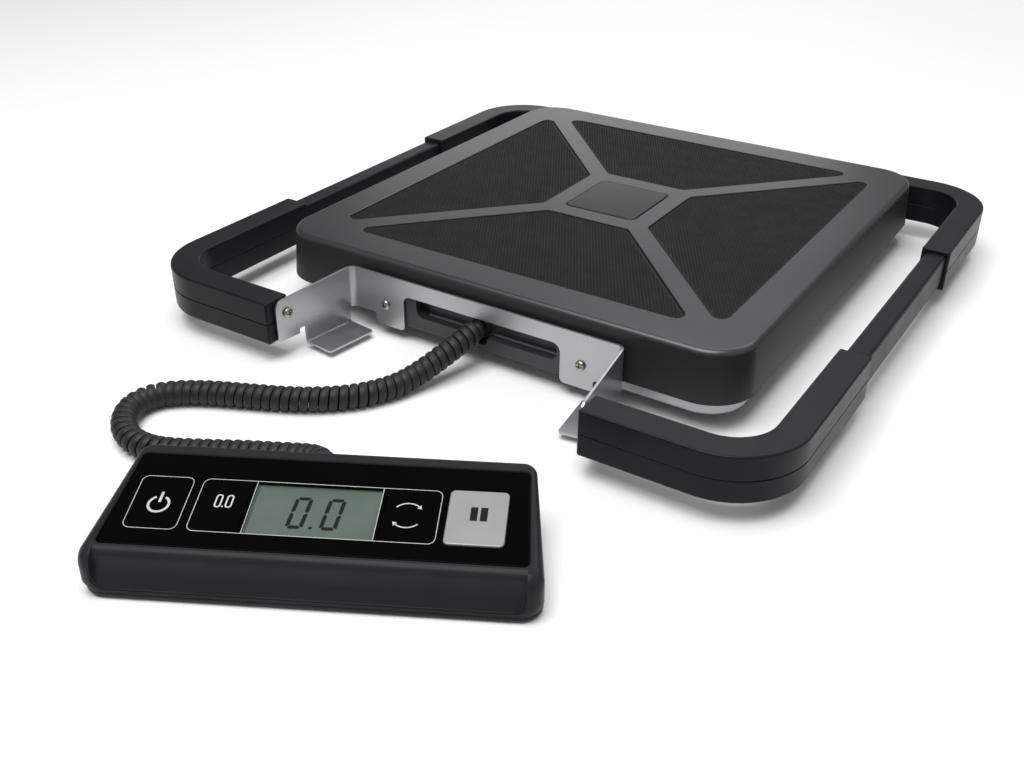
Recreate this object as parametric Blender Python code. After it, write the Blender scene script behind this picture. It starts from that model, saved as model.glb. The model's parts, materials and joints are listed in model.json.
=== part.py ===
"""A platform shipping scale: a weighing platform inside a carrying ring, and a display unit on a curly cord.

Lengths are millimetres, and MM turns them into metres. X is to the right, Y to the back, Z up from the floor.
The base's pieces are placed from the middle of its platform, and the display unit's from their own origin on
the floor, turned by DISPLAY_YAW. Names in a tuple such as (LOW, HIGH) are heights above the floor.
"""

import math

import bmesh
import bpy
from mathutils import Matrix, Vector

MM = 0.001
GAP = 0.3
TOP = 48.0

# Places on the floor: the platform's middle, and the display unit's origin as seen from it.
BASE_Y = 115.24
DISPLAY_X, DISPLAY_Y = 41.1, -340.9
DISPLAY_YAW = 28.0

# Platform: a shallow cover with a flared skirt, over a steel frame.
COVER_HALF = (151.9, 157.0)
SKIRT_HALF = (153.6, 159.0)
COVER_CORNER = 25.0
SKIRT_LOW = 18.0
COVER_WALL = 2.0
COVER_TOP_WALL = 3.0
EDGE_ROLL = 3.0
POCKET_DEPTH = 1.4
POCKET_CORNER = 5.0
MAT_HEIGHTS = (TOP - POCKET_DEPTH + GAP, TOP - 0.3)
BADGE_HALF = (25.1, 26.5)
BADGE_CORNER = 4.5
BADGE_TOP = TOP + 0.2
FRAME_HALF = (140.0, 144.0)
FRAME_CORNER = 14.0
FRAME_HEIGHTS = (41.5, 44.6)
FRAME_RIB_X = 60.0
FRAME_RIB_HALF = (1.5, 130.0)
FRAME_RIB_LOW = 29.0
FRAME_POST_HALF = (5.0, 8.0)

# Load cells: a beam at each corner, whose two ends are thicker than its middle.
CELL_PLACE = (112.0, 118.0)
CELL_HALF = (30.0, 6.0)
CELL_HEIGHTS = (12.5, 22.0)
CELL_END = 16.0
CELL_TOP = 24.0
CELL_CLEARANCE = 0.7
GAUGE_HOLE = 3.6
GAUGE_HOLE_OFFSET = 4.0

# Base tray and its front block, which carries the bracket and the cord gland.
TRAY_HALF = (148.0, 152.0)
TRAY_HEIGHTS = (7.3, 26.0)
TRAY_WALL = 2.0
TRAY_CORNER = 22.0
BLOCK_HALF_WIDTH = 73.0
BLOCK_FRONT = -159.6
BLOCK_BACK = -149.0
BLOCK_HEIGHTS = (9.5, 34.0)
CORD_POCKET_X = (-45.0, 50.0)
CORD_POCKET_BACK = -153.0
CORD_DIP_X = (-11.6, 4.6)
CORD_DIP_LOW = 13.4
FOOT_PLACE = (120.0, 124.0)
FOOT_RADII = (13.0, 14.5)
EAR_X = 60.0
EAR_HALF_WIDTH = 10.0
EAR_HEIGHTS = (10.5, 14.7)
SCREW_HOLE = 1.9
JUNCTION_BOARD = ((-30.0, 60.0, 13.0), (30.0, 100.0, 14.6))

# Sheet-metal bracket: a web with a window, and two arms that flare towards the front.
SHEET = 1.5
WEB_FRONT = -161.5
WEB_HALF = 91.8
BRACKET_TOP = 40.0
BRACKET_LOW = 14.0
LEG_X = 74.0
LEG_LOW = 7.0
ARM_FLARE = 7.4
ARM_LENGTH = 59.5
ARM_NOTCH = (43.9, 15.3)
ARM_END_HEIGHTS = (12.0, 37.0)
TAB_REACH = (5.0, 39.3)
TAB_WIDTH = 21.0
TAB_CORNER = 2.0
TAB_LOW = 3.5
WINDOW_HALF = 53.0
WINDOW_TOP = 30.0
WEB_SCREW = (66.0, 21.0)
ARM_SCREW = (51.5, 28.4)

# Carrying ring: one bent tube, and two grip shells round each of its corners.
RING_HALF = 200.8
RING_FRONT, RING_REAR = -224.6, 178.5
RING_WIDTH = 17.3
RING_CORNER = 41.0
GRIP_END_X = 100.0
GRIP_END_FRONT, GRIP_END_REAR = -97.0, 57.0
GRIP_HEIGHTS = (12.0, 37.9)
PARTING = 24.5
GRIP_WALL = 1.9
GRIP_ROUND = 1.6
TUBE_INSET = 2.2
TUBE_HEIGHTS = (15.0, 35.2)
TUBE_WALL = 1.6
TUBE_ROUND = 2.6
TUBE_END_X = 110.0

# Display unit, in its own frame: half widths at its front and back, and a sloping panel.
UNIT_FRONT, UNIT_BACK = -31.5, 38.0
UNIT_HALF_FRONT, UNIT_HALF_BACK = 98.5, 90.0
UNIT_CORNERS = (7.0, 6.5)
UNIT_WALL = 2.2
UNIT_FLOOR = 1.2
UNIT_SPLIT = 3.1
PANEL_MIDDLE = (4.75, 26.85)
PANEL_TILT = 10.04
PANEL_HALF_FRONT, PANEL_HALF_BACK = 91.0, 87.5
PANEL_HALF_DEPTH = 26.65
PANEL_CORNER = 2.5
PANEL_THICK = 1.7
PANEL_LEDGE = 3.0
LCD_SPAN = (-31.0, 24.6)
KEY_SPANS = {
    "power_key": (-82.6, -59.7),
    "tare_key": (-54.8, -33.0),
    "unit_key": (26.6, 50.6),
    "hold_key": (53.8, 80.2),
}
KEY_ROW = (-17.3, 12.6)
HOLD_ROW = (-17.7, 13.9)
KEY_CORNER = 3.0
KEY_DEPTH = 4.9
KEY_PROUD = 0.1
HOLD_PROUD = 0.7
LCD_WINDOW_DEPTHS = (-1.5, -0.1)
LCD_MODULE_DEPTHS = (-5.4, -2.1)
BOARD_HEIGHTS = (-8.0, -6.4)
BOARD_HALF = (78.0, 23.0)
BOSSES = {(88.0, -18.0): 20.0, (83.0, 26.0): 27.7}
BOSS_RADIUS, BOSS_BORE = 3.6, 1.6
SCREW_SEAT = 2.9
PADS = ((74.0, -22.0), (74.0, 31.9))
PAD_RADIUS = 4.6
BATTERY_X = (-70.0, -25.5)
BATTERY_Y = (-2.0, 9.5, 21.0)
BATTERY_AXIS_HEIGHT = 8.4
BATTERY_RADIUS = 5.15
BOX_HALF = (26.2, 19.0)
BOX_TOP = 15.4
BOX_WALL = 1.4
SOCKET_MOUTH = ((51.2, 28.5, 7.0), (59.8, 40.0, 15.2))

# The display unit seen from its right, as (y, height, radius): its body, the room inside it, and the hollow
# front that runs between its two end walls from the foot up to the panel.
UNIT_SIDE = [(-31.5, 1.0, 0), (39.0, 1.0, 0), (38.6, 33.3, 4), (-30.9, 21.15, 4), (-31.55, 7.0, 2)]
UNIT_ROOM_SIDE = [(-28.2, 1.0, 0), (35.8, 1.0, 0), (35.8, 28.9, 0)]
UNIT_ROOM_SIDE += [(-25.2, 17.9, 2), (-25.5, 11.0, 0), (-28.2, 5.0, 0)]
DISH_SIDE = [(-36.0, 5.6, 0), (-30.7, 5.6, 0), (-27.0, 13.0, 12), (-27.0, 21.87, 5)]
DISH_SIDE += [(-22.0, 22.745, 0), (-22.0, 30.0, 0), (-36.0, 30.0, 0)]
DISH_HALF = 91.0

# Cord: a curly cord, here one tube of its outside diameter. The route starts at the gland and ends at the
# display unit's strain relief. Its first and last points lie on the axes of those two pieces.
CORD_DIAMETER = 13.6
CORD_FLOOR = 7.0
GLAND = (-3.0, 22.0)
RELIEF = (-11.0, 12.0)
CORD_ROUTE = (
    (-3.0, -156.6, 22.0),
    (-3.6, -163.0, 20.6),
    (-6.0, -175.0, 17.6),
    (-9.6, -188.0, 13.4),
    (-13.4, -199.0, 9.8),
    (-17.2, -210.0, 7.5),
    (-21.6, -220.5, CORD_FLOOR),
    (-29.0, -232.5, CORD_FLOOR),
    (-40.5, -244.0, CORD_FLOOR),
    (-57.0, -255.0, CORD_FLOOR),
    (-79.0, -265.5, CORD_FLOOR),
    (-97.0, -274.0, CORD_FLOOR),
    (-110.5, -282.5, CORD_FLOOR),
    (-118.5, -291.0, CORD_FLOOR),
    (-121.5, -300.0, CORD_FLOOR),
    (-120.0, -309.0, CORD_FLOOR),
    (-114.6, -317.0, CORD_FLOOR),
    (-105.9, -323.9, CORD_FLOOR),
    (-95.0, -327.7, CORD_FLOOR),
    (-82.8, -327.3, CORD_FLOOR),
    (-70.5, -322.8, CORD_FLOOR),
    (-54.7, -313.9, CORD_FLOOR),
    (-39.0, -304.8, CORD_FLOOR),
    (-27.7, -298.9, CORD_FLOOR),
    (-16.8, -293.9, 7.5),
    (-8.7, -292.3, 8.8),
    (-1.9, -293.7, 10.3),
    (4.1, -297.4, 11.5),
    (8.4, -302.8, 12.0),
    (9.5, -304.8, 12.0),
)


def clear_scene():
    for thing in list(bpy.data.objects):
        bpy.data.objects.remove(thing)


def new_collection(name):
    made = bpy.data.collections.new(name)
    bpy.context.scene.collection.children.link(made)
    return made


def finish(name, colour, roughness, metallic=0.0):
    """A material with one even finish."""
    made = bpy.data.materials.new(name)
    made.use_nodes = True
    shader = made.node_tree.nodes["Principled BSDF"]
    shader.inputs["Base Color"].default_value = (*colour, 1.0)
    shader.inputs["Roughness"].default_value = roughness
    shader.inputs["Metallic"].default_value = metallic
    return made


# Outlines, as lists of flat points


def fillet(corners, steps=4):
    """An outline through the corners (x, y, radius), each rounded with an arc of its radius."""
    outline = []
    for index, (x, y, radius) in enumerate(corners):
        here = Vector((x, y))
        if radius == 0:
            outline.append(here)
            continue
        before = (Vector(corners[index - 1][:2]) - here).normalized()
        after = (Vector(corners[(index + 1) % len(corners)][:2]) - here).normalized()
        half_angle = before.angle(after) / 2
        middle = here + (before + after).normalized() * (radius / math.sin(half_angle))
        spoke = here + before * (radius / math.tan(half_angle)) - middle
        last = here + after * (radius / math.tan(half_angle)) - middle
        turn = math.atan2(spoke.x * last.y - spoke.y * last.x, spoke.dot(last))
        for step in range(steps + 1):
            outline.append(middle + Matrix.Rotation(turn * step / steps, 2) @ spoke)
    return outline


def rectangle(half_x, half_y, radius=0.0, middle=(0.0, 0.0), steps=4):
    signs = ((-1, -1), (1, -1), (1, 1), (-1, 1))
    return fillet([(middle[0] + sx * half_x, middle[1] + sy * half_y, radius) for sx, sy in signs], steps)


def span(low, high, radius=0.0, steps=4):
    """The rectangle between two opposite corners."""
    middle = ((low[0] + high[0]) / 2, (low[1] + high[1]) / 2)
    return rectangle((high[0] - low[0]) / 2, (high[1] - low[1]) / 2, radius, middle, steps)


# Meshes


def weld(mesh):
    """Joins a converted curve's caps to its sides and turns its faces outward."""
    bm = bmesh.new()
    bm.from_mesh(mesh)
    bmesh.ops.remove_doubles(bm, verts=bm.verts, dist=1e-6)
    bmesh.ops.dissolve_limit(bm, angle_limit=math.radians(0.5), verts=bm.verts, edges=bm.edges)
    bmesh.ops.recalc_face_normals(bm, faces=bm.faces)
    bm.to_mesh(mesh)
    bm.free()
    return mesh


def mesh_of_curve(curve):
    guide = bpy.data.objects.new(curve.name, curve)
    bpy.context.scene.collection.objects.link(guide)
    bpy.context.view_layer.update()
    mesh = bpy.data.meshes.new_from_object(guide.evaluated_get(bpy.context.evaluated_depsgraph_get()))
    bpy.data.objects.remove(guide)
    return weld(mesh)


def plate(name, outline, low, high):
    """A flat outline drawn from height low to height high."""
    curve = bpy.data.curves.new(name, "CURVE")
    curve.dimensions = "2D"
    curve.fill_mode = "BOTH"
    curve.extrude = (high - low) / 2 * MM
    spline = curve.splines.new("POLY")
    spline.points.add(len(outline) - 1)
    for point, (x, y) in zip(spline.points, outline):
        point.co = (x * MM, y * MM, 0.0, 1.0)
    spline.use_cyclic_u = True
    mesh = mesh_of_curve(curve)
    mesh.transform(Matrix.Translation((0.0, 0.0, (low + high) / 2 * MM)))
    return mesh


def upright(mesh):
    """Turns a plate of an (x, height) outline so that its thickness runs along Y."""
    mesh.transform(Matrix.Rotation(math.pi / 2, 4, "X"))
    return mesh


def sideways(mesh):
    """Turns a plate of a (y, height) outline so that its thickness runs along X."""
    mesh.transform(Matrix(((0, 0, 1, 0), (1, 0, 0, 0), (0, 1, 0, 0), (0, 0, 0, 1))))
    return mesh


def across_y(name, outline, front, back):
    return upright(plate(name, outline, -back, -front))


def across_x(name, outline, left, right):
    return sideways(plate(name, outline, left, right))


def block(name, low, high):
    """A box between two opposite corners."""
    bm = bmesh.new()
    bmesh.ops.create_cube(bm, size=1.0)
    size = (Vector(high) - Vector(low)) * MM
    bmesh.ops.scale(bm, vec=size, verts=bm.verts)
    bmesh.ops.translate(bm, vec=(Vector(high) + Vector(low)) / 2 * MM, verts=bm.verts)
    mesh = bpy.data.meshes.new(name)
    bm.to_mesh(mesh)
    bm.free()
    return mesh


def barrel(name, radius, low, high, end_radius=None, segments=20):
    """A cylinder or cone on the Z axis from low to high."""
    bm = bmesh.new()
    bmesh.ops.create_cone(
        bm,
        cap_ends=True,
        segments=segments,
        radius1=radius * MM,
        radius2=(radius if end_radius is None else end_radius) * MM,
        depth=(high - low) * MM,
    )
    bmesh.ops.translate(bm, vec=(0.0, 0.0, (low + high) / 2 * MM), verts=bm.verts)
    mesh = bpy.data.meshes.new(name)
    bm.to_mesh(mesh)
    bm.free()
    return mesh


def round_edges(mesh, chosen, radius, segments=3):
    """Rounds the edges for which chosen(edge) is true."""
    bm = bmesh.new()
    bm.from_mesh(mesh)
    edges = [edge for edge in bm.edges if edge.calc_face_angle(0.0) > math.radians(40) and chosen(edge)]
    bmesh.ops.bevel(
        bm,
        geom=edges,
        offset=radius * MM,
        segments=segments,
        profile=0.5,
        affect="EDGES",
        clamp_overlap=True,
    )
    bm.to_mesh(mesh)
    bm.free()
    return mesh


def at_height(height):
    """Chooses the edges that lie at one height."""
    return lambda edge: all(abs(vert.co.z - height * MM) < 1e-6 for vert in edge.verts)


def level(edge):
    return abs(edge.verts[0].co.z - edge.verts[1].co.z) < 1e-6


# Objects


def add(name, mesh, material, parent, place=(0.0, 0.0, 0.0)):
    """One sub-part, smooth on its rounded sides."""
    thing = bpy.data.objects.new(name, mesh)
    mesh.name = name
    mesh.materials.clear()
    mesh.materials.append(material)
    PARTS.objects.link(thing)
    thing.parent = parent
    thing.location = Vector(place) * MM
    mesh.shade_smooth()
    mesh.set_sharp_from_angle(angle=math.radians(35))
    return thing


def hidden(mesh, parent, place=None):
    """An object that only shapes others."""
    helper = bpy.data.objects.new(mesh.name, mesh)
    TOOLS.objects.link(helper)
    helper.hide_render = True
    helper.display_type = "WIRE"
    helper.parent = parent
    if place is not None:
        helper.matrix_local = place
    return helper


def shape(target, other, operation):
    modifier = target.modifiers.new(other.name, "BOOLEAN")
    modifier.operation = operation
    modifier.solver = "EXACT"
    modifier.object = other


def cut(target, mesh, place=None, parent=None):
    """Cuts a mesh from the target. The target's own frame holds it unless a parent is given."""
    shape(target, hidden(mesh, parent or target.parent, place), "DIFFERENCE")


def join(target, mesh, place=None):
    shape(target, hidden(mesh, target.parent, place), "UNION")


def empty(name, parent=None, place=(0.0, 0.0, 0.0)):
    made = bpy.data.objects.new(name, None)
    bpy.context.scene.collection.objects.link(made)
    made.parent = parent
    made.location = Vector(place) * MM
    return made


def pointing(place, direction):
    """The matrix that puts a mesh's origin at place with its Z axis along direction."""
    turn = Vector((0.0, 0.0, 1.0)).rotation_difference(Vector(direction).normalized())
    return Matrix.Translation(Vector(place) * MM) @ turn.to_matrix().to_4x4()


def screw(name, parent, place, direction, head=3.0, shank=1.5, length=9.0):
    """A cross-head screw. Its head's underside is at place, and the head points along direction."""
    thing = add(name, barrel(name, head, 0.0, 1.7, head * 0.72, segments=16), ZINC, parent)
    thing.matrix_local = pointing(place, direction)
    spot = pointing(place, direction)
    join(thing, barrel("shank", shank, -length, 0.4, segments=10), spot)
    for half in ((head * 0.55, head * 0.14), (head * 0.14, head * 0.55)):
        cut(thing, block("slot", (-half[0], -half[1], 0.8), (half[0], half[1], 3.0)), spot)


def screw_hole(target, place, direction):
    cut(target, barrel("screw_hole", SCREW_HOLE, -11.0, 3.0, segments=12), pointing(place, direction))


# Platform


def mat_outlines():
    """The four trapezoids between the deck's diagonal ribs."""
    long_front, long_back = (114.5, -132.1), (28.6, -39.8)
    side_outer, side_inner = (128.6, 127.7), (37.7, 30.5)
    front = [(-long_front[0], long_front[1]), long_front, long_back, (-long_back[0], long_back[1])]
    right = [(side_outer[0], -side_outer[1]), side_outer, side_inner, (side_inner[0], -side_inner[1])]
    return {
        "front_mat": front,
        "rear_mat": [(-x, -y) for x, y in front],
        "right_mat": right,
        "left_mat": [(-x, -y) for x, y in right],
    }


def shrunk(corners, inset):
    """A convex outline with each side moved inwards."""
    count = len(corners)
    moved = []
    for index in range(count):
        here = Vector(corners[index])
        before = (here - Vector(corners[index - 1])).normalized()
        after = (Vector(corners[(index + 1) % count]) - here).normalized()
        inward = Vector((-before.y, before.x)), Vector((-after.y, after.x))
        moved.append(here + (inward[0] + inward[1]) * inset / (1 + inward[0].dot(inward[1])))
    return moved


def rounded(corners, radius, inset=0.0, steps=3):
    return fillet([(*corner, radius) for corner in shrunk(corners, inset)], steps)


def flared_cover():
    """The cover as a solid, its sides leaning out towards the floor."""
    mesh = plate("platform_cover", rectangle(*COVER_HALF, COVER_CORNER, steps=7), SKIRT_LOW, TOP)
    for vert in mesh.vertices:
        if vert.co.z < (TOP - 1) * MM:
            vert.co.x *= SKIRT_HALF[0] / COVER_HALF[0]
            vert.co.y *= SKIRT_HALF[1] / COVER_HALF[1]
    return round_edges(mesh, at_height(TOP), EDGE_ROLL, segments=3)


def platform(base):
    cover = add("platform_cover", flared_cover(), DECK_METAL, base)
    inner_half = (COVER_HALF[0] - COVER_WALL, COVER_HALF[1] - COVER_WALL)
    inner = rectangle(*inner_half, COVER_CORNER - COVER_WALL, steps=5)
    cut(cover, plate("cover_inside", inner, SKIRT_LOW - 5, TOP - COVER_TOP_WALL))
    block_room = (BLOCK_HALF_WIDTH + 2.5, BLOCK_BACK + 1.0, BLOCK_HEIGHTS[1] + 2.0)
    cut(cover, block("block_room", (-block_room[0], BLOCK_FRONT - 5.0, 5.0), block_room))
    pocket_floor = TOP - POCKET_DEPTH
    for name, corners in mat_outlines().items():
        cut(cover, plate("mat_pocket", rounded(corners, POCKET_CORNER), pocket_floor, TOP + 2))
        mat = plate(name, rounded(corners, POCKET_CORNER - GAP, GAP), *MAT_HEIGHTS)
        add(name, mat, MAT_RUBBER, base)
    cut(cover, plate("badge_pocket", rectangle(*BADGE_HALF, BADGE_CORNER, steps=3), pocket_floor, TOP + 2))
    badge = rectangle(BADGE_HALF[0] - GAP, BADGE_HALF[1] - GAP, BADGE_CORNER - GAP, steps=3)
    badge = plate("badge_plate", badge, pocket_floor + GAP, BADGE_TOP)
    add("badge_plate", round_edges(badge, at_height(BADGE_TOP), 0.6, 1), BADGE_BLACK, base)


def platform_frame(base):
    """The stiff plate under the cover, with two ribs and a post over each load cell."""
    mesh = plate("platform_frame", rectangle(*FRAME_HALF, FRAME_CORNER), *FRAME_HEIGHTS)
    frame = add("platform_frame", mesh, STEEL, base)
    inside_plate = FRAME_HEIGHTS[0] + 1.0
    rib_x, rib_y = FRAME_RIB_HALF
    post_x, post_y = FRAME_POST_HALF
    for sx in (-1, 1):
        x = sx * FRAME_RIB_X
        join(frame, block("rib", (x - rib_x, -rib_y, FRAME_RIB_LOW), (x + rib_x, rib_y, inside_plate)))
        for sy in (-1, 1):
            x, y = sx * (CELL_PLACE[0] + CELL_HALF[0] - CELL_END / 2), sy * CELL_PLACE[1]
            low = (x - post_x, y - post_y, CELL_TOP + CELL_CLEARANCE)
            join(frame, block("post", low, (x + post_x, y + post_y, inside_plate)))


def load_cells(base):
    """A bending beam at each corner: its inner end sits on the tray, its outer end carries the platform."""
    floor = TRAY_HEIGHTS[0] + TRAY_WALL
    half_x, half_y = CELL_HALF
    low, high = CELL_HEIGHTS
    for side, sx in (("left", -1), ("right", 1)):
        for end, sy in (("front", -1), ("rear", 1)):
            name = f"load_cell_{end}_{side}"
            x, y = sx * CELL_PLACE[0], sy * CELL_PLACE[1]
            beam = block(name, (x - half_x, y - half_y, low), (x + half_x, y + half_y, high))
            beam = add(name, beam, ALUMINIUM, base)
            seat = sorted((x - sx * half_x, x - sx * (half_x - CELL_END)))
            join(beam, block("seat", (seat[0], y - half_y, floor + GAP), (seat[1], y + half_y, low + 1.5)))
            pad = sorted((x + sx * (half_x - CELL_END), x + sx * half_x))
            join(beam, block("pad", (pad[0], y - half_y, high - 2.0), (pad[1], y + half_y, CELL_TOP)))
            for offset in (-GAUGE_HOLE_OFFSET, GAUGE_HOLE_OFFSET):
                hole = barrel("gauge_hole", GAUGE_HOLE, -9, 9, segments=14)
                cut(beam, hole, pointing((x + offset, y, (low + high) / 2), (0, 1, 0)))


# Base


def tray(base):
    floor = TRAY_HEIGHTS[0] + TRAY_WALL
    mesh = plate("base_tray", rectangle(*TRAY_HALF, TRAY_CORNER, steps=6), *TRAY_HEIGHTS)
    body = add("base_tray", round_edges(mesh, at_height(TRAY_HEIGHTS[0]), 1.5, 2), TRAY_METAL, base)
    hollow = rectangle(TRAY_HALF[0] - TRAY_WALL, TRAY_HALF[1] - TRAY_WALL, TRAY_CORNER - TRAY_WALL, steps=6)
    cut(body, plate("tray_hollow", hollow, floor, TRAY_HEIGHTS[1] + 5))
    low = (-BLOCK_HALF_WIDTH, BLOCK_FRONT, BLOCK_HEIGHTS[0])
    join(body, block("front_block", low, (BLOCK_HALF_WIDTH, BLOCK_BACK, BLOCK_HEIGHTS[1])))
    pocket = span((CORD_POCKET_X[0], SKIRT_LOW), (CORD_POCKET_X[1], BLOCK_HEIGHTS[1] + 8), 4.0)
    cut(body, across_y("cord_pocket", pocket, BLOCK_FRONT - 3, CORD_POCKET_BACK))
    dip = span((CORD_DIP_X[0], CORD_DIP_LOW), (CORD_DIP_X[1], SKIRT_LOW + 5), 3.0)
    cut(body, across_y("cord_dip", dip, BLOCK_FRONT - 3, CORD_POCKET_BACK))
    cut(body, barrel("gland_hole", 5.1, -10, 10), pointing((GLAND[0], BLOCK_BACK, GLAND[1]), (0, 1, 0)))
    for side, sx in (("left", -1), ("right", 1)):
        screw_hole(body, (sx * WEB_SCREW[0], WEB_FRONT, WEB_SCREW[1]), (0, -1, 0))
        tray_ear(base, body, side, sx)


def tray_ear(base, body, side, sx):
    """An ear that reaches out under the ring's rear tube, and the screw that holds the tube to it."""
    front, back = TRAY_HALF[1] - 1, RING_REAR - 4.5
    outline = span((sx * EAR_X - EAR_HALF_WIDTH, front), (sx * EAR_X + EAR_HALF_WIDTH, back), 3.0)
    join(body, plate("ear", outline, *EAR_HEIGHTS))
    x, y = sx * EAR_X, RING_REAR - RING_WIDTH / 2
    screw_hole(body, (x, y, EAR_HEIGHTS[0]), (0, 0, -1))
    screw(f"rear_screw_{side}", base, (x, y, EAR_HEIGHTS[0] - GAP), (0, 0, -1))


def junction_board(base):
    """The board inside the tray that the load cells' wires go to, on two legs and with a row of terminals."""
    (left, front, low), (right, back, high) = JUNCTION_BOARD
    board = add("junction_board", block("junction_board", *JUNCTION_BOARD), BOARD_GREEN, base)
    for x in (left + 4.0, right - 10.0):
        leg_low = (x, front + 4.0, TRAY_HEIGHTS[0] + TRAY_WALL + GAP)
        join(board, block("board_leg", leg_low, (x + 6.0, back - 4.0, low + 0.5)))
    join(board, block("terminals", (left + 6.0, front + 2.0, low + 1.0), (right - 6.0, front + 10.0, 21.0)))


def feet(base):
    for side, sx in (("left", -1), ("right", 1)):
        for end, sy in (("front", -1), ("rear", 1)):
            name = f"foot_{end}_{side}"
            shape = barrel(name, FOOT_RADII[0], 0.0, TRAY_HEIGHTS[0] - GAP, FOOT_RADII[1], segments=24)
            place = (sx * FOOT_PLACE[0], sy * FOOT_PLACE[1], 0.0)
            add(name, round_edges(shape, at_height(0.0), 1.2, 2), RUBBER, base, place)


def gland(base):
    body = add("cord_gland", barrel("cord_gland", 4.8, -4.0, 3.4), RUBBER, base)
    spot = pointing((GLAND[0], CORD_POCKET_BACK + 1.5, GLAND[1]), (0, -1, 0))
    body.matrix_local = spot
    join(body, barrel("inner_flange", 6.5, -4.5 - GAP, -2.6 - GAP), spot)
    join(body, barrel("outer_flange", 6.5, 1.5 + GAP, 3.0), spot)
    join(body, barrel("boot", 5.6, 2.5, 3.7, 5.2), spot)


# Bracket


def arm_frame(sx):
    """An arm's own frame: X runs forward along the outer face from the bend, Y points in towards the dock."""
    flare = math.radians(ARM_FLARE)
    forward = Vector((sx * math.sin(flare), -math.cos(flare), 0.0))
    inward = Vector((-sx * math.cos(flare), -math.sin(flare), 0.0))
    corner = Vector((sx * WEB_HALF, WEB_FRONT + SHEET, 0.0)) * MM
    columns = (forward, inward, Vector((0.0, 0.0, 1.0)))
    turn = Matrix(columns).transposed().to_4x4()
    return Matrix.Translation(corner) @ turn


def bracket_web():
    """The web, which stands across the front block: a leg at each side of its window."""
    half = [(WINDOW_HALF, WINDOW_TOP, 5), (WINDOW_HALF, LEG_LOW, 3), (LEG_X, LEG_LOW, 3)]
    half += [(LEG_X, BRACKET_LOW, 1.5), (WEB_HALF - 0.6, BRACKET_LOW, 0), (WEB_HALF - 0.6, BRACKET_TOP, 0)]
    outline = [(-x, z, r) for x, z, r in half][::-1] + half
    return across_y("display_bracket", fillet(outline, 3), WEB_FRONT, WEB_FRONT + SHEET)


def bracket_arm():
    """One arm in its own frame. Its lower edge steps up past the tab and down again at the grip."""
    notch_x, notch_high = ARM_NOTCH
    end_low, end_high = ARM_END_HEIGHTS
    arm = [(0, BRACKET_TOP, 0), (0, BRACKET_LOW, 0), (TAB_REACH[0], BRACKET_LOW, 1)]
    arm += [(TAB_REACH[0], TAB_LOW, 0), (TAB_REACH[1], TAB_LOW, 0), (TAB_REACH[1], notch_high, 1)]
    arm += [(notch_x, notch_high, 1), (notch_x, end_low, 0.8)]
    arm += [(ARM_LENGTH, end_low, 2), (ARM_LENGTH, end_high, 6)]
    return across_y("arm", fillet(arm, 3), 0.0, SHEET)


def bracket_tab():
    """The level tab at an arm's foot, on which the display unit can be put away."""
    tab = [(TAB_REACH[0], 0.2, 0), (TAB_REACH[1], 0.2, 0)]
    tab += [(TAB_REACH[1], TAB_WIDTH, TAB_CORNER), (TAB_REACH[0], TAB_WIDTH, TAB_CORNER)]
    return plate("tab", fillet(tab, 3), TAB_LOW, TAB_LOW + SHEET)


def bracket(base):
    body = add("display_bracket", bracket_web(), BRACKET_METAL, base)
    for side, sx in (("left", -1), ("right", 1)):
        place = arm_frame(sx)
        join(body, bracket_arm(), place)
        join(body, bracket_tab(), place)
        web_place = (sx * WEB_SCREW[0], WEB_FRONT, WEB_SCREW[1])
        screw_hole(body, web_place, (0, -1, 0))
        head_place = (web_place[0], web_place[1] - GAP, web_place[2])
        screw(f"web_screw_{side}", base, head_place, (0, -1, 0), length=7.0)
        arm_place, inward = arm_screw_place(sx, SHEET)
        screw_hole(body, arm_place, inward)
        screw(f"arm_screw_{side}", base, arm_screw_place(sx, SHEET + GAP)[0], inward, length=9.0)


def arm_screw_place(sx, depth):
    """A point on an arm screw's axis, depth in from the arm's outer face, and the axis towards the dock."""
    frame = arm_frame(sx)
    inward = frame.to_3x3() @ Vector((0.0, 1.0, 0.0))
    return frame @ (Vector((ARM_SCREW[0], depth, ARM_SCREW[1])) * MM) / MM, inward


# Carrying ring


def ring_band(sx, corner_y, end_y, inset, start_x, overrun=0.0):
    """The outline of the ring round one corner, from start_x on its long side to end_y on its flank."""
    inward = math.copysign(1.0, -corner_y)
    outer_x, outer_y = RING_HALF - inset, corner_y + inward * inset
    inner_x, inner_y = RING_HALF - RING_WIDTH + inset, corner_y + inward * (RING_WIDTH - inset)
    last_y = end_y + inward * overrun
    outer_round, inner_round = RING_CORNER - inset, RING_CORNER - RING_WIDTH + inset
    corners = [(start_x, outer_y, 0), (outer_x, outer_y, outer_round), (outer_x, last_y, 0)]
    corners += [(inner_x, last_y, 0), (inner_x, inner_y, inner_round), (start_x, inner_y, 0)]
    return fillet([(sx * x, y, r) for x, y, r in corners], 7)


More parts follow.
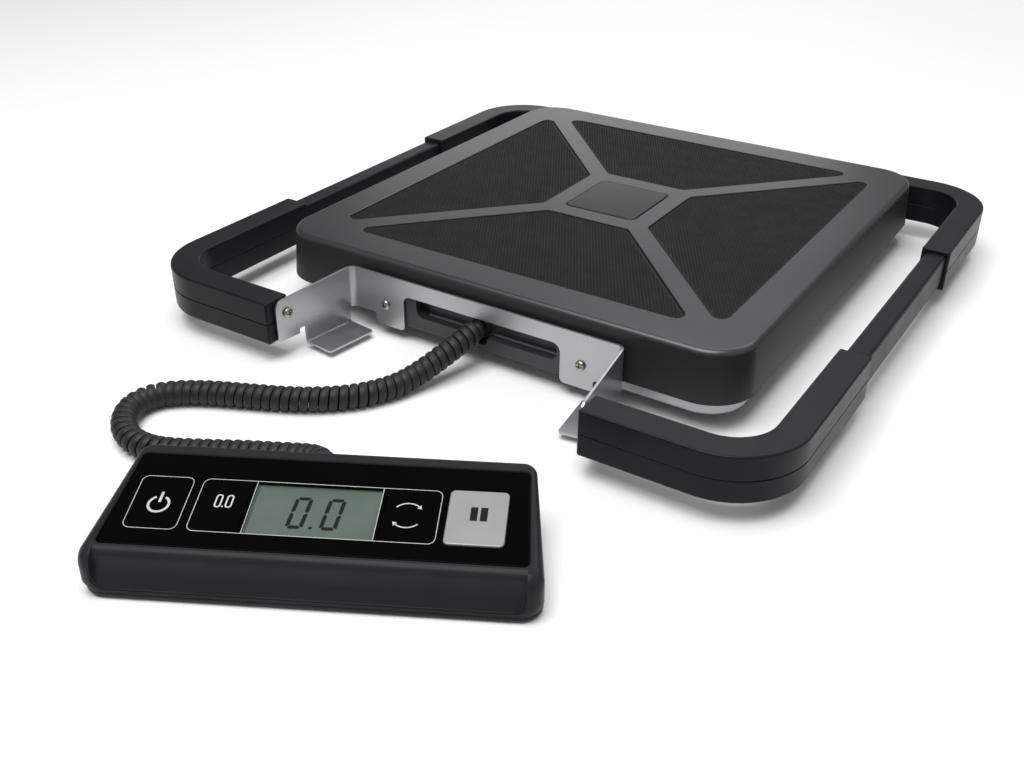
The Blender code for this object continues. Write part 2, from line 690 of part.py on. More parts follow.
def grips(base):
    ends = (("front", RING_FRONT, GRIP_END_FRONT), ("rear", RING_REAR, GRIP_END_REAR))
    for side, sx in (("left", -1), ("right", 1)):
        for end, corner_y, end_y in ends:
            outline = ring_band(sx, corner_y, end_y, 0.0, GRIP_END_X)
            start_x = TUBE_END_X - 0.5 if end == "front" else GRIP_END_X - 3.0
            channel = ring_band(sx, corner_y, end_y, GRIP_WALL, start_x, 3.0)
            channel_low, channel_high = TUBE_HEIGHTS[0] - GAP, TUBE_HEIGHTS[1] + GAP
            name = f"grip_upper_{end}_{side}"
            upper = plate(name, outline, PARTING + GAP / 2, GRIP_HEIGHTS[1])
            round_edges(upper, at_height(GRIP_HEIGHTS[1]), GRIP_ROUND, 2)
            upper = add(name, upper, GRIP_PLASTIC, base)
            cut(upper, plate("tube_channel", channel, PARTING - 5, channel_high))
            name = f"grip_lower_{end}_{side}"
            lower = plate(name, outline, GRIP_HEIGHTS[0], PARTING - GAP / 2)
            round_edges(lower, at_height(GRIP_HEIGHTS[0]), GRIP_ROUND, 2)
            lower = add(name, lower, GRIP_PLASTIC, base)
            cut(lower, plate("tube_channel", channel, channel_low, PARTING + 5))
            if end == "front":
                place, inward = arm_screw_place(sx, 0.0)
                screw_hole(upper, place, inward)


def tube_outline(inset, end_x):
    """The bent tube seen from above: a loop round the base that is open at the bracket."""
    outer_x, front, rear = RING_HALF - inset, RING_FRONT + inset, RING_REAR - inset
    width = RING_WIDTH - 2 * inset
    inner_x, inner_front, inner_rear = outer_x - width, front + width, rear - width
    outer_r, inner_r = RING_CORNER - inset, RING_CORNER - inset - width
    half = [(end_x, front, 0), (outer_x, front, outer_r), (outer_x, rear, outer_r)]
    back = [(inner_x, inner_rear, inner_r), (inner_x, inner_front, inner_r), (end_x, inner_front, 0)]
    left = [(-x, y, r) for x, y, r in half][::-1]
    left_back = [(-x, y, r) for x, y, r in back][::-1]
    return fillet(half + left + left_back + back, 6)


def handle_tube(base):
    mesh = plate("handle_tube", tube_outline(TUBE_INSET, TUBE_END_X), *TUBE_HEIGHTS)
    body = add("handle_tube", round_edges(mesh, level, TUBE_ROUND, 2), TUBE_METAL, base)
    inside = tube_outline(TUBE_INSET + TUBE_WALL, TUBE_END_X - 3)
    cut(body, plate("tube_inside", inside, TUBE_HEIGHTS[0] + TUBE_WALL, TUBE_HEIGHTS[1] - TUBE_WALL))
    for sx in (-1, 1):
        screw_hole(body, (sx * EAR_X, RING_REAR - RING_WIDTH / 2, EAR_HEIGHTS[0]), (0, 0, -1))


# Display unit


def unit_outline(inset, steps=5):
    """The display unit seen from above."""
    slope = (UNIT_HALF_FRONT - UNIT_HALF_BACK) / (UNIT_BACK - UNIT_FRONT)
    front_half, back_half = UNIT_HALF_FRONT - inset - slope * inset, UNIT_HALF_BACK - inset + slope * inset
    front, back = UNIT_FRONT + inset, UNIT_BACK - inset
    front_round, back_round = (radius - inset for radius in UNIT_CORNERS)
    corners = [(-front_half, front, front_round), (front_half, front, front_round)]
    corners += [(back_half, back, back_round), (-back_half, back, back_round)]
    return fillet(corners, steps)


def panel_outline(inset):
    front, back, depth = PANEL_HALF_FRONT - inset, PANEL_HALF_BACK - inset, PANEL_HALF_DEPTH - inset
    corners = ((-front, -depth), (front, -depth), (back, depth), (-back, depth))
    return fillet([(x, y, PANEL_CORNER) for x, y in corners], 3)


def bosses():
    """Each screw boss: its place in the display unit, and how high its post stands."""
    return [(sx * x, y, high) for sx in (-1, 1) for (x, y), high in BOSSES.items()]


def housing(unit, slope):
    mesh = plate("upper_housing", unit_outline(0.0), UNIT_SPLIT + GAP, 40)
    body = add("upper_housing", mesh, HOUSING_PLASTIC, unit)
    shape(body, hidden(across_x("side_shape", fillet(UNIT_SIDE, 4), -120, 120), unit), "INTERSECT")
    room = hidden(plate("room", unit_outline(UNIT_WALL), 0.0, 40), unit)
    shape(room, hidden(across_x("room_side_shape", fillet(UNIT_ROOM_SIDE, 3), -120, 120), unit), "INTERSECT")
    shape(body, room, "DIFFERENCE")
    cut(body, across_x("front_dish", fillet(DISH_SIDE, 4), -DISH_HALF, DISH_HALF))
    cut(body, plate("panel_seat", panel_outline(-GAP), -PANEL_THICK - GAP, 5), parent=slope)
    cut(body, plate("panel_opening", panel_outline(PANEL_LEDGE), -9, 5), parent=slope)
    for x, y, high in bosses():
        spot = Matrix.Translation(Vector((x, y, 0)) * MM)
        join(body, barrel("boss", BOSS_RADIUS, UNIT_SPLIT + GAP, high, segments=12), spot)
        cut(body, barrel("boss_hole", BOSS_BORE, 1, 12, segments=8), spot)
    cut(body, barrel("relief_hole", 4.5, -8, 8), pointing((RELIEF[0], UNIT_BACK, RELIEF[1]), (0, 1, 0)))
    cut(body, block("socket_hole", (48.6, 34.0, 5.2), (62.4, 42.0, 17.0)))


def bottom_cover(unit):
    """The unit's floor, with the battery box standing on it."""
    mesh = plate("bottom_cover", unit_outline(0.0), UNIT_FLOOR, UNIT_SPLIT)
    body = add("bottom_cover", round_edges(mesh, at_height(UNIT_FLOOR), 0.8, 1), HOUSING_PLASTIC, unit)
    middle_x, middle_y = sum(BATTERY_X) / 2, BATTERY_Y[1]
    box_low = (middle_x - BOX_HALF[0], middle_y - BOX_HALF[1], UNIT_FLOOR + 0.8)
    box_high = (middle_x + BOX_HALF[0], middle_y + BOX_HALF[1], BOX_TOP)
    join(body, block("battery_box", box_low, box_high))
    room_low = (box_low[0] + BOX_WALL, box_low[1] + BOX_WALL, -1.0)
    room_high = (box_high[0] - BOX_WALL, box_high[1] - BOX_WALL, BOX_TOP - BOX_WALL)
    cut(body, block("battery_room", room_low, room_high))
    for x, y, _ in bosses():
        spot = Matrix.Translation(Vector((x, y, 0)) * MM)
        cut(body, barrel("screw_bore", BOSS_BORE, 0, 5, segments=12), spot)
        cut(body, barrel("screw_seat", SCREW_SEAT, 0, 2.3, segments=16), spot)
    battery_door(unit, (middle_x, middle_y, 0.0))


def battery_door(unit, place):
    half = (BOX_HALF[0] - BOX_WALL - GAP, BOX_HALF[1] - BOX_WALL - GAP)
    door = plate("battery_door", rectangle(*half), UNIT_FLOOR, UNIT_SPLIT - 0.2)
    door = add("battery_door", door, HOUSING_PLASTIC, unit, place)
    for x in (-6.0, -2.0, 2.0, 6.0):
        groove = block("grip_groove", (x - 0.6, -half[1] + 3, 0.5), (x + 0.6, -half[1] + 9, 1.7))
        cut(door, groove, Matrix.Translation(Vector(place) * MM))


def batteries(unit):
    for index, y in enumerate(BATTERY_Y):
        name = f"battery_{index + 1}"
        axis = 1 if index % 2 == 0 else -1
        start = BATTERY_X[0] + 0.6 if axis > 0 else BATTERY_X[1] - 0.6
        spot = pointing((start, y, BATTERY_AXIS_HEIGHT), (axis, 0, 0))
        cell = add(name, barrel(name, BATTERY_RADIUS, 0.0, 42.2, segments=20), CELL_WRAP, unit)
        cell.matrix_local = spot
        join(cell, barrel("button", 1.9, 41.0, 43.2, segments=12), spot)


def panel_and_keys(slope):
    """The panel with a hole for each key and for the display, and the keys themselves."""
    panel = plate("face_panel", panel_outline(0.0), -PANEL_THICK, 0.0)
    panel = add("face_panel", panel, PANEL_BLACK, slope)
    lcd = span((LCD_SPAN[0], KEY_ROW[0]), (LCD_SPAN[1], KEY_ROW[1]))
    cut(panel, plate("lcd_hole", lcd, -5, 5))
    for name, (left, right) in KEY_SPANS.items():
        hold = name == "hold_key"
        row = HOLD_ROW if hold else KEY_ROW
        middle = ((left + right) / 2, (row[0] + row[1]) / 2)
        half = ((right - left) / 2, (row[1] - row[0]) / 2)
        cut(panel, plate("key_hole", rectangle(*half, KEY_CORNER, middle, 3), -5, 5))
        proud = HOLD_PROUD if hold else KEY_PROUD
        cap = rectangle(half[0] - GAP, half[1] - GAP, KEY_CORNER - GAP, steps=3)
        cap = plate(name, cap, -KEY_DEPTH, proud)
        if hold:
            round_edges(cap, at_height(proud), 0.5, 1)
        add(name, cap, KEY_SILVER if hold else PANEL_BLACK, slope, (*middle, 0.0))


def lcd_and_board(slope):
    """The display's window and module, and the board under the keys with a switch for each."""
    low, high = (LCD_SPAN[0], KEY_ROW[0]), (LCD_SPAN[1], KEY_ROW[1])
    pane = span((low[0] + GAP, low[1] + GAP), (high[0] - GAP, high[1] - GAP))
    add("lcd_window", plate("lcd_window", pane, *LCD_WINDOW_DEPTHS), CLEAR, slope)
    module_low = (low[0] - 1.2, low[1] - 1.5, LCD_MODULE_DEPTHS[0])
    module_high = (high[0] + 1.2, high[1] + 1.8, LCD_MODULE_DEPTHS[1])
    add("lcd_module", block("lcd_module", module_low, module_high), LCD_GREEN, slope)
    board_low, board_high = BOARD_HEIGHTS
    board = block("display_board", (-BOARD_HALF[0], -BOARD_HALF[1], board_low), (*BOARD_HALF, board_high))
    board = add("display_board", board, BOARD_GREEN, slope)
    for left, right in KEY_SPANS.values():
        middle = (left + right) / 2
        join(board, block("tact_switch", (middle - 3, -5.5, -7.0), (middle + 3, 0.5, -5.7)))


def unit_fittings(unit):
    body = add("strain_relief", barrel("strain_relief", 4.2, -2.6, 4.0), RUBBER, unit)
    spot = pointing((RELIEF[0], UNIT_BACK, RELIEF[1]), (0, 1, 0))
    body.matrix_local = spot
    join(body, barrel("inner_flange", 6.0, -4.4, -2.2 - GAP), spot)
    join(body, barrel("boot", 6.0, GAP, 7.8, 4.4), spot)
    socket = add("usb_socket", block("usb_socket", (49.5, 23.0, 5.6), (61.5, 37.6, 16.6)), SOCKET_METAL, unit)
    cut(socket, block("socket_mouth", *SOCKET_MOUTH))
    for side, sx in (("left", -1), ("right", 1)):
        for end, boss, pad in zip(("front", "rear"), BOSSES, PADS):
            place = (sx * boss[0], boss[1], 2.2)
            screw(f"unit_screw_{end}_{side}", unit, place, (0, 0, -1), head=2.5, shank=1.2, length=7.0)
            pad_name = f"unit_pad_{end}_{side}"
            mesh = barrel(pad_name, PAD_RADIUS, 0.0, UNIT_FLOOR - GAP, segments=20)
            add(pad_name, mesh, RUBBER, unit, (sx * pad[0], pad[1], 0.0))


# Cord


def smooth_route(points, spacing):
    """Points at even spacing on a Catmull-Rom curve through the route's own points."""
    route = [Vector(point) for point in points]
    ends = [route[0] * 2 - route[1]] + route + [route[-1] * 2 - route[-2]]
    fine = []
    for a, b, c, d in zip(ends, ends[1:], ends[2:], ends[3:]):
        for step in range(12):
            t = step / 12
            square = 2 * a - 5 * b + 4 * c - d
            cube = 3 * b - a - 3 * c + d
            fine.append(0.5 * (2 * b + (c - a) * t + square * t**2 + cube * t**3))
    fine.append(route[-1])
    length = sum((q - p).length for p, q in zip(fine, fine[1:]))
    count = round(length / spacing)
    even, walked, wanted = [fine[0]], 0.0, 1
    for p, q in zip(fine, fine[1:]):
        stride = (q - p).length
        while wanted < count and walked + stride >= wanted * length / count:
            even.append(p.lerp(q, (wanted * length / count - walked) / stride))
            wanted += 1
        walked += stride
    return even + [route[-1]], length


def cord(base):
    points, length = smooth_route(CORD_ROUTE, 9.0)
    curve = bpy.data.curves.new("curly_cord", "CURVE")
    curve.dimensions = "3D"
    curve.bevel_depth = CORD_DIAMETER / 2 * MM
    curve.bevel_resolution = 3
    curve.use_fill_caps = True
    spline = curve.splines.new("POLY")
    spline.points.add(len(points) - 1)
    for point, place in zip(spline.points, points):
        point.co = (*(place * MM), 1.0)
    spline.use_smooth = True
    curve.materials.append(CORD_RUBBER)
    thing = bpy.data.objects.new("curly_cord", curve)
    PARTS.objects.link(thing)
    thing.parent = base
    print(f"the cord is {length:.1f} mm long along its middle")


clear_scene()
PARTS = new_collection("platform_shipping_scale")
TOOLS = new_collection("cutters_and_joiners")

DECK_METAL = finish("deck_metal", (0.075, 0.07, 0.075), 0.38, 0.6)
MAT_RUBBER = finish("mat_rubber", (0.012, 0.012, 0.012), 0.7)
BADGE_BLACK = finish("badge_black", (0.015, 0.015, 0.016), 0.35)
STEEL = finish("frame_steel", (0.45, 0.45, 0.46), 0.4, 1.0)
ALUMINIUM = finish("cell_aluminium", (0.6, 0.6, 0.61), 0.35, 1.0)
TRAY_METAL = finish("tray_metal", (0.3, 0.3, 0.31), 0.4, 0.9)
BOARD_GREEN = finish("board_green", (0.02, 0.14, 0.05), 0.45)
BRACKET_METAL = finish("bracket_metal", (0.33, 0.33, 0.35), 0.38, 0.9)
ZINC = finish("zinc_yellow", (0.6, 0.55, 0.38), 0.3, 1.0)
GRIP_PLASTIC = finish("grip_plastic", (0.028, 0.027, 0.031), 0.55)
TUBE_METAL = finish("tube_metal", (0.035, 0.035, 0.04), 0.4, 0.3)
RUBBER = finish("black_rubber", (0.012, 0.012, 0.012), 0.75)
CORD_RUBBER = finish("cord_rubber", (0.03, 0.03, 0.033), 0.6)
HOUSING_PLASTIC = finish("housing_plastic", (0.05, 0.05, 0.056), 0.5)
PANEL_BLACK = finish("panel_black", (0.006, 0.006, 0.006), 0.12)
KEY_SILVER = finish("key_silver", (0.55, 0.55, 0.54), 0.4, 0.3)
LCD_GREEN = finish("lcd_green", (0.15, 0.19, 0.16), 0.3)
CLEAR = finish("clear_window", (0.6, 0.65, 0.62), 0.05)
CELL_WRAP = finish("cell_wrap", (0.1, 0.1, 0.12), 0.3)
SOCKET_METAL = finish("socket_metal", (0.6, 0.6, 0.6), 0.3, 1.0)

BASE = empty("base_origin", place=(0.0, BASE_Y, 0.0))
UNIT = empty("unit_origin", place=(DISPLAY_X, DISPLAY_Y + BASE_Y, 0.0))
UNIT.rotation_euler.z = math.radians(DISPLAY_YAW)
SLOPE = empty("panel_slope", UNIT, (0.0, *PANEL_MIDDLE))
SLOPE.rotation_euler.x = math.radians(PANEL_TILT)

platform(BASE)
platform_frame(BASE)
load_cells(BASE)
tray(BASE)
junction_board(BASE)
feet(BASE)
gland(BASE)
bracket(BASE)
grips(BASE)
handle_tube(BASE)
housing(UNIT, SLOPE)
bottom_cover(UNIT)
batteries(UNIT)
panel_and_keys(SLOPE)
lcd_and_board(SLOPE)
unit_fittings(UNIT)
cord(BASE)
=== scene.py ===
"""Looks for the platform shipping scale: finer meshes, procedural finishes and a pale studio.

Lengths are millimetres unless a name says otherwise, and MM turns them into metres. A piece of the
base is drawn from the middle of its platform, and one of the display unit from that unit's origin.
"""

import json
import math

import bmesh
import bpy
from mathutils import Matrix, Quaternion, Vector

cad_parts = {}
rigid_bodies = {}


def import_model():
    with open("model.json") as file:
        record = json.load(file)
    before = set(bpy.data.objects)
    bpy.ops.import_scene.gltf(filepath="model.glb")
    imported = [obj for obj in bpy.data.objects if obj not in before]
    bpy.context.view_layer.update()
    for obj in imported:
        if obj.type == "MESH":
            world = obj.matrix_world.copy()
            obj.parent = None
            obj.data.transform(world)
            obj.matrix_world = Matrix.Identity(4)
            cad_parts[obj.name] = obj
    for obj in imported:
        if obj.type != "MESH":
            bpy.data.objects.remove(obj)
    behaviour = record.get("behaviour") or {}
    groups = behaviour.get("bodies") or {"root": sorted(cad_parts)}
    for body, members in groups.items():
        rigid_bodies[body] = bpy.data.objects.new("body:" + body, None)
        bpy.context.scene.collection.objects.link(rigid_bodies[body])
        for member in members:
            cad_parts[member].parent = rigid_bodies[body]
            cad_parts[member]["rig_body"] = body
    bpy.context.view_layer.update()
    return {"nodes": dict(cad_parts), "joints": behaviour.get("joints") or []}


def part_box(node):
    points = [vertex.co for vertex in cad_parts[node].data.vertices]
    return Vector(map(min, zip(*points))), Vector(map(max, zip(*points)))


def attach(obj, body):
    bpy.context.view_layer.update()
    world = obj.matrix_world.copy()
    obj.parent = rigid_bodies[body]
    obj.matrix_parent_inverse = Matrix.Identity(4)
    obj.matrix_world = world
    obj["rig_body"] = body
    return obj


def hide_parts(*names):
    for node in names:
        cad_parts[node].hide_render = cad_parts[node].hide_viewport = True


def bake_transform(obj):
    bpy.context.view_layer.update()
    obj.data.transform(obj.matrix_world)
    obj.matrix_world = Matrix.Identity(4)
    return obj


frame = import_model()
NODES = frame["nodes"]

MM = 0.001
GAP = 0.3
TOP = 48.0
SHEET = 1.5
SIDES = (("left", -1), ("right", 1))
PANEL_TILT = math.radians(10.04)
PANEL_MIDDLE = (4.75, 26.85)
UNIT_FRONT, UNIT_BACK = -31.5, 38.0


# Frames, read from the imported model


def middle_of(node):
    low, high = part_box(node)
    return (low + high) / 2


def unit_frame():
    """The display unit's own frame: its joint's direction gives the turn, and its housing gives the place."""
    joint = next(joint for joint in frame["joints"] if joint["name"] == "display_move")
    turn = Matrix.Rotation(math.atan2(joint["axis"][0], -joint["axis"][1]), 4, "Z")
    seen = [turn.transposed() @ vert.co for vert in NODES["upper_housing"].data.vertices]
    across = [place.x for place in seen]
    back = max(place.y for place in seen)
    origin = turn @ Vector(((min(across) + max(across)) / 2, back - UNIT_BACK * MM, 0.0))
    return Matrix.Translation(origin) @ turn


BASE = Matrix.Translation((0.0, middle_of("platform_cover").y, 0.0))
UNIT = unit_frame()
SLOPE = UNIT @ Matrix.Translation(Vector((0.0, *PANEL_MIDDLE)) * MM) @ Matrix.Rotation(PANEL_TILT, 4, "X")


# Outlines


def fillet(corners, steps=8):
    """An outline through the corners (x, y, radius), each rounded with an arc of its radius."""
    outline = []
    for index, (x, y, radius) in enumerate(corners):
        here = Vector((x, y))
        if radius == 0:
            outline.append(here)
            continue
        before = (Vector(corners[index - 1][:2]) - here).normalized()
        after = (Vector(corners[(index + 1) % len(corners)][:2]) - here).normalized()
        half_angle = before.angle(after) / 2
        middle = here + (before + after).normalized() * (radius / math.sin(half_angle))
        spoke = here + before * (radius / math.tan(half_angle)) - middle
        last = here + after * (radius / math.tan(half_angle)) - middle
        turn = math.atan2(spoke.x * last.y - spoke.y * last.x, spoke.dot(last))
        for step in range(steps + 1):
            outline.append(middle + Matrix.Rotation(turn * step / steps, 2) @ spoke)
    return outline


def rectangle(half_x, half_y, radius=0.0, middle=(0.0, 0.0), steps=8):
    signs = ((-1, -1), (1, -1), (1, 1), (-1, 1))
    return fillet([(middle[0] + sx * half_x, middle[1] + sy * half_y, radius) for sx, sy in signs], steps)


def span(low, high, radius=0.0, inset=0.0, steps=8):
    """The rectangle between two opposite corners, with each side moved inwards."""
    middle = ((low[0] + high[0]) / 2, (low[1] + high[1]) / 2)
    half = ((high[0] - low[0]) / 2 - inset, (high[1] - low[1]) / 2 - inset)
    return rectangle(*half, max(radius - inset, 0.05) if radius else 0.0, middle, steps)


def shrunk(corners, inset):
    """A convex outline with each side moved inwards."""
    count = len(corners)
    moved = []
    for index in range(count):
        here = Vector(corners[index])
        before = (here - Vector(corners[index - 1])).normalized()
        after = (Vector(corners[(index + 1) % count]) - here).normalized()
        inward = Vector((-before.y, before.x)), Vector((-after.y, after.x))
        moved.append(here + (inward[0] + inward[1]) * inset / (1 + inward[0].dot(inward[1])))
    return moved


def rounded(corners, radius, inset=0.0, steps=6):
    return fillet([(*corner, max(radius - inset, 0.05)) for corner in shrunk(corners, inset)], steps)


def circle(radius, segments, middle=(0.0, 0.0)):
    turns = [2 * math.pi * index / segments for index in range(segments)]
    return [(middle[0] + radius * math.cos(turn), middle[1] + radius * math.sin(turn)) for turn in turns]


# Solids


def placed(name, data):
    """A new object in the scene."""
    thing = bpy.data.objects.new(name, data)
    bpy.context.scene.collection.objects.link(thing)
    return thing


def finished(bm):
    mesh = bpy.data.meshes.new("solid")
    bm.to_mesh(mesh)
    bm.free()
    return mesh


def mesh_from(bm):
    bmesh.ops.recalc_face_normals(bm, faces=bm.faces)
    return finished(bm)


def loft(rings, ends=True):
    """A solid through rings of equally many points, with flat ends, or joined round to the first."""
    bm = bmesh.new()
    rows = [[bm.verts.new(Vector(point) * MM) for point in ring] for ring in rings]
    for low, high in zip(rows, rows[1:] if ends else rows[1:] + rows[:1]):
        for index in range(len(low)):
            bm.faces.new((low[index - 1], low[index], high[index], high[index - 1]))
    if ends:
        bm.faces.new(rows[0][::-1])
        bm.faces.new(rows[-1])
    return mesh_from(bm)


def at(outline, height):
    return [(x, y, height) for x, y in outline]


def rolled(outline, low, high, low_round=0.0, high_round=0.0, steps=5):
    """A plate whose rims are rounded. outline(inset) gives its outline moved inwards."""
    rings = []
    for radius, height, way in ((low_round, low, 1), (high_round, high, -1)):
        rows = [(0.0, height)]
        if radius:
            turns = [math.pi / 2 * step / steps for step in range(steps + 1)]
            rows = [(radius * (1 - math.sin(t)), height + way * radius * (1 - math.cos(t))) for t in turns]
        rings += [at(outline(inset), z) for inset, z in (rows if way > 0 else rows[::-1])]
    return loft(rings)


def prism(outline, low, high, axis="z"):
    """A flat outline drawn along one axis."""
    order = {"x": lambda a, b, t: (t, a, b), "y": lambda a, b, t: (a, t, b), "z": lambda a, b, t: (a, b, t)}
    return loft([[order[axis](a, b, t) for a, b in outline] for t in (low, high)])


def block(low, high):
    return prism(span(low[:2], high[:2]), low[2], high[2])


def turned(profile, segments=40):
    """A solid turned round the Z axis, from (radius, height) pairs."""
    return loft([at(circle(radius, segments), height) for radius, height in profile])


def band(outer, inner, low, high):
    """A thin frame between two outlines of equally many points."""
    return loft([at(outer, low), at(outer, high), at(inner, high), at(inner, low)], ends=False)


def moved(mesh, place):
    mesh.transform(place)
    return mesh


def shifted(mesh, *offset):
    return moved(mesh, Matrix.Translation(Vector(offset) * MM))


def pointing(place, direction):
    """The matrix that puts a mesh's origin at place with its Z axis along direction."""
    turn = Vector((0.0, 0.0, 1.0)).rotation_difference(Vector(direction).normalized())
    return Matrix.Translation(Vector(place) * MM) @ turn.to_matrix().to_4x4()


def carve(mesh, *tools, operation="DIFFERENCE"):
    """The mesh with each tool cut from it, joined to it, or met with it."""
    made = [placed("carving", each) for each in (mesh, *tools)]
    for tool in made[1:]:
        modifier = made[0].modifiers.new("carve", "BOOLEAN")
        modifier.operation = operation
        modifier.solver = "EXACT"
        modifier.object = tool
    bpy.context.view_layer.update()
    result = bpy.data.meshes.new_from_object(made[0].evaluated_get(bpy.context.evaluated_depsgraph_get()))
    for thing in made:
        bpy.data.objects.remove(thing)
    return result


def together(*meshes):
    """One mesh of several separate solids."""
    bm = bmesh.new()
    for mesh in meshes:
        bm.from_mesh(mesh)
    return finished(bm)


# Finishes


class Finish:
    """A procedural material. Its patterns lie in the piece's own coordinates, in metres."""

    def __init__(self, name, roughness, metallic=0.0, specular=0.5, coat=0.0):
        self.material = bpy.data.materials.new(name)
        self.material.use_nodes = True
        self.tree = self.material.node_tree
        self.shader = self.tree.nodes["Principled BSDF"]
        self.shader.inputs["Roughness"].default_value = roughness
        self.shader.inputs["Metallic"].default_value = metallic
        self.shader.inputs["Specular IOR Level"].default_value = specular
        self.shader.inputs["Coat Weight"].default_value = coat
        self.shader.inputs["Coat Roughness"].default_value = 0.08
        self.place = self.node("TexCoord").outputs["Object"]

    def node(self, kind, **inputs):
        made = self.tree.nodes.new("ShaderNode" + kind)
        for name, value in inputs.items():
            self.feed(made.inputs[name.replace("_", " ")], value)
        return made

    def feed(self, socket, value):
        if isinstance(value, bpy.types.NodeSocket):
            self.tree.links.new(value, socket)
        else:
            socket.default_value = value

    def noise(self, size, detail=2.0, stretch=(1.0, 1.0, 1.0)):
        """Noise whose blotches are about size millimetres across."""
        mapping = self.node("Mapping", Vector=self.place, Scale=stretch)
        made = self.node("TexNoise", Vector=mapping.outputs[0], Scale=1.0 / (size * MM), Detail=detail)
        return made.outputs["Fac"]

    def ramp(self, fac, *stops):
        made = self.node("ValToRGB", Fac=fac)
        points = made.color_ramp.elements
        while len(points) < len(stops):
            points.new(0.5)
        for point, (position, colour) in zip(points, stops):
            point.position = position
            point.color = (*colour, 1.0)
        return made.outputs["Color"]

    def between(self, fac, low, high, to_low=0.0, to_high=1.0):
        made = self.node("MapRange", Value=fac, From_Min=low, From_Max=high, To_Min=to_low, To_Max=to_high)
        return made.outputs[0]

    def mix(self, fac, first, second):
        made = self.tree.nodes.new("ShaderNodeMix")
        made.data_type = "RGBA"
        self.feed(made.inputs[0], fac)
        self.feed(made.inputs[6], first if isinstance(first, bpy.types.NodeSocket) else (*first, 1.0))
        self.feed(made.inputs[7], second if isinstance(second, bpy.types.NodeSocket) else (*second, 1.0))
        return made.outputs[2]

    def colour(self, value):
        self.feed(self.shader.inputs["Base Color"], value)
        return self

    def rough(self, value):
        self.feed(self.shader.inputs["Roughness"], value)
        return self

    def bump(self, height, depth, strength=0.5):
        made = self.node("Bump", Height=height, Strength=strength, Distance=depth * MM)
        self.feed(self.shader.inputs["Normal"], made.outputs[0])
        return self


def even(
    name, colour, roughness, metallic=0.0, specular=0.5,
    blotch=30.0, vary=0.12, grain=0.35, depth=0.02, coat=0.0,
):
    """A moulded or painted finish: slow colour and gloss changes, and a fine grain."""
    made = Finish(name, roughness, metallic, specular, coat)
    slow = made.noise(blotch, 3.0)
    dark = [part * (1 - vary) for part in colour]
    light = [part * (1 + vary) for part in colour]
    made.colour(made.ramp(slow, (0.3, dark), (0.7, light)))
    made.rough(made.between(made.noise(blotch * 0.37, 4.0), 0.3, 0.7, roughness * 0.92, roughness * 1.08))
    return made.bump(made.noise(grain, 3.0), depth).material


def deck_finish():
    """One satin paint drawn as lit and shaded copies: a lighter metal grey on top as painted sheen, fading
    over the rolled edge into a near-black skirt as painted shade.
    """
    made = Finish("deck_paint_lit_top_shaded_skirt", 0.36, 0.75, 0.4)
    height = made.node("SeparateXYZ", Vector=made.place).outputs["Z"]
    # Mask of the top face, where the paint is drawn lighter as painted sheen.
    lit_top_mask = made.between(height, 45.0 * MM, 47.6 * MM)
    flake = made.noise(0.45, 2.0)
    slow = made.noise(60.0, 2.0)
    # Lighter metal grey on top: painted sheen from the lights, not a second paint.
    metal = made.ramp(slow, (0.3, (0.064, 0.061, 0.066)), (0.7, (0.074, 0.071, 0.076)))
    metal = made.mix(made.between(flake, 0.35, 0.7, 0.0, 0.35), metal, (0.094, 0.091, 0.097))
    # Near-black on the skirt: painted shade on the same paint.
    skirt = made.ramp(slow, (0.3, (0.0135, 0.0135, 0.015)), (0.7, (0.0165, 0.0165, 0.018)))
    made.colour(made.mix(lit_top_mask, skirt, metal))
    made.feed(made.shader.inputs["Metallic"], made.between(lit_top_mask, 0.0, 1.0, 0.0, 0.8))
    made.rough(made.between(lit_top_mask, 0.0, 1.0, 0.5, 0.31))
    return made.bump(flake, 0.012, 0.35).material


def brushed(
    name, colour, roughness, metallic=1.0,
    vary=0.08, stretch=(1.0, 1.0, 14.0), size=2.2, depth=0.006,
):
    """A metal with fine drawn lines."""
    made = Finish(name, roughness, metallic)
    lines = made.noise(size, 3.0, stretch)
    slow = made.noise(25.0, 2.0)
    dark = [part * (1 - vary) for part in colour]
    light = [part * (1 + vary) for part in colour]
    base = made.ramp(slow, (0.3, dark), (0.7, light))
    made.colour(made.mix(made.between(lines, 0.3, 0.7, 0.0, 0.25), base, [part * 0.8 for part in colour]))
    made.rough(made.between(lines, 0.3, 0.7, roughness * 0.85, roughness * 1.15))
    return made.bump(lines, depth, 0.4).material


def clear_finish():
    """A thin clear window: what is behind it shows through, under a faint gloss."""
    made = Finish("clear_window", 0.04)
    smear = made.noise(12.0, 2.0)
    gloss = made.node("BsdfGlossy", Roughness=0.05)
    see = made.node("BsdfTransparent")
    made.feed(see.inputs["Color"], made.ramp(smear, (0.3, (0.93, 0.95, 0.93)), (0.7, (0.97, 0.98, 0.97))))
    fresnel = made.node("Fresnel", IOR=1.08)
    mix = made.node("MixShader", Fac=fresnel.outputs[0])
    made.tree.links.new(see.outputs[0], mix.inputs[1])
    made.tree.links.new(gloss.outputs[0], mix.inputs[2])
    output = next(node for node in made.tree.nodes if node.type == "OUTPUT_MATERIAL")
    made.tree.links.new(mix.outputs[0], output.inputs["Surface"])
    made.tree.nodes.remove(made.shader)
    return made.material


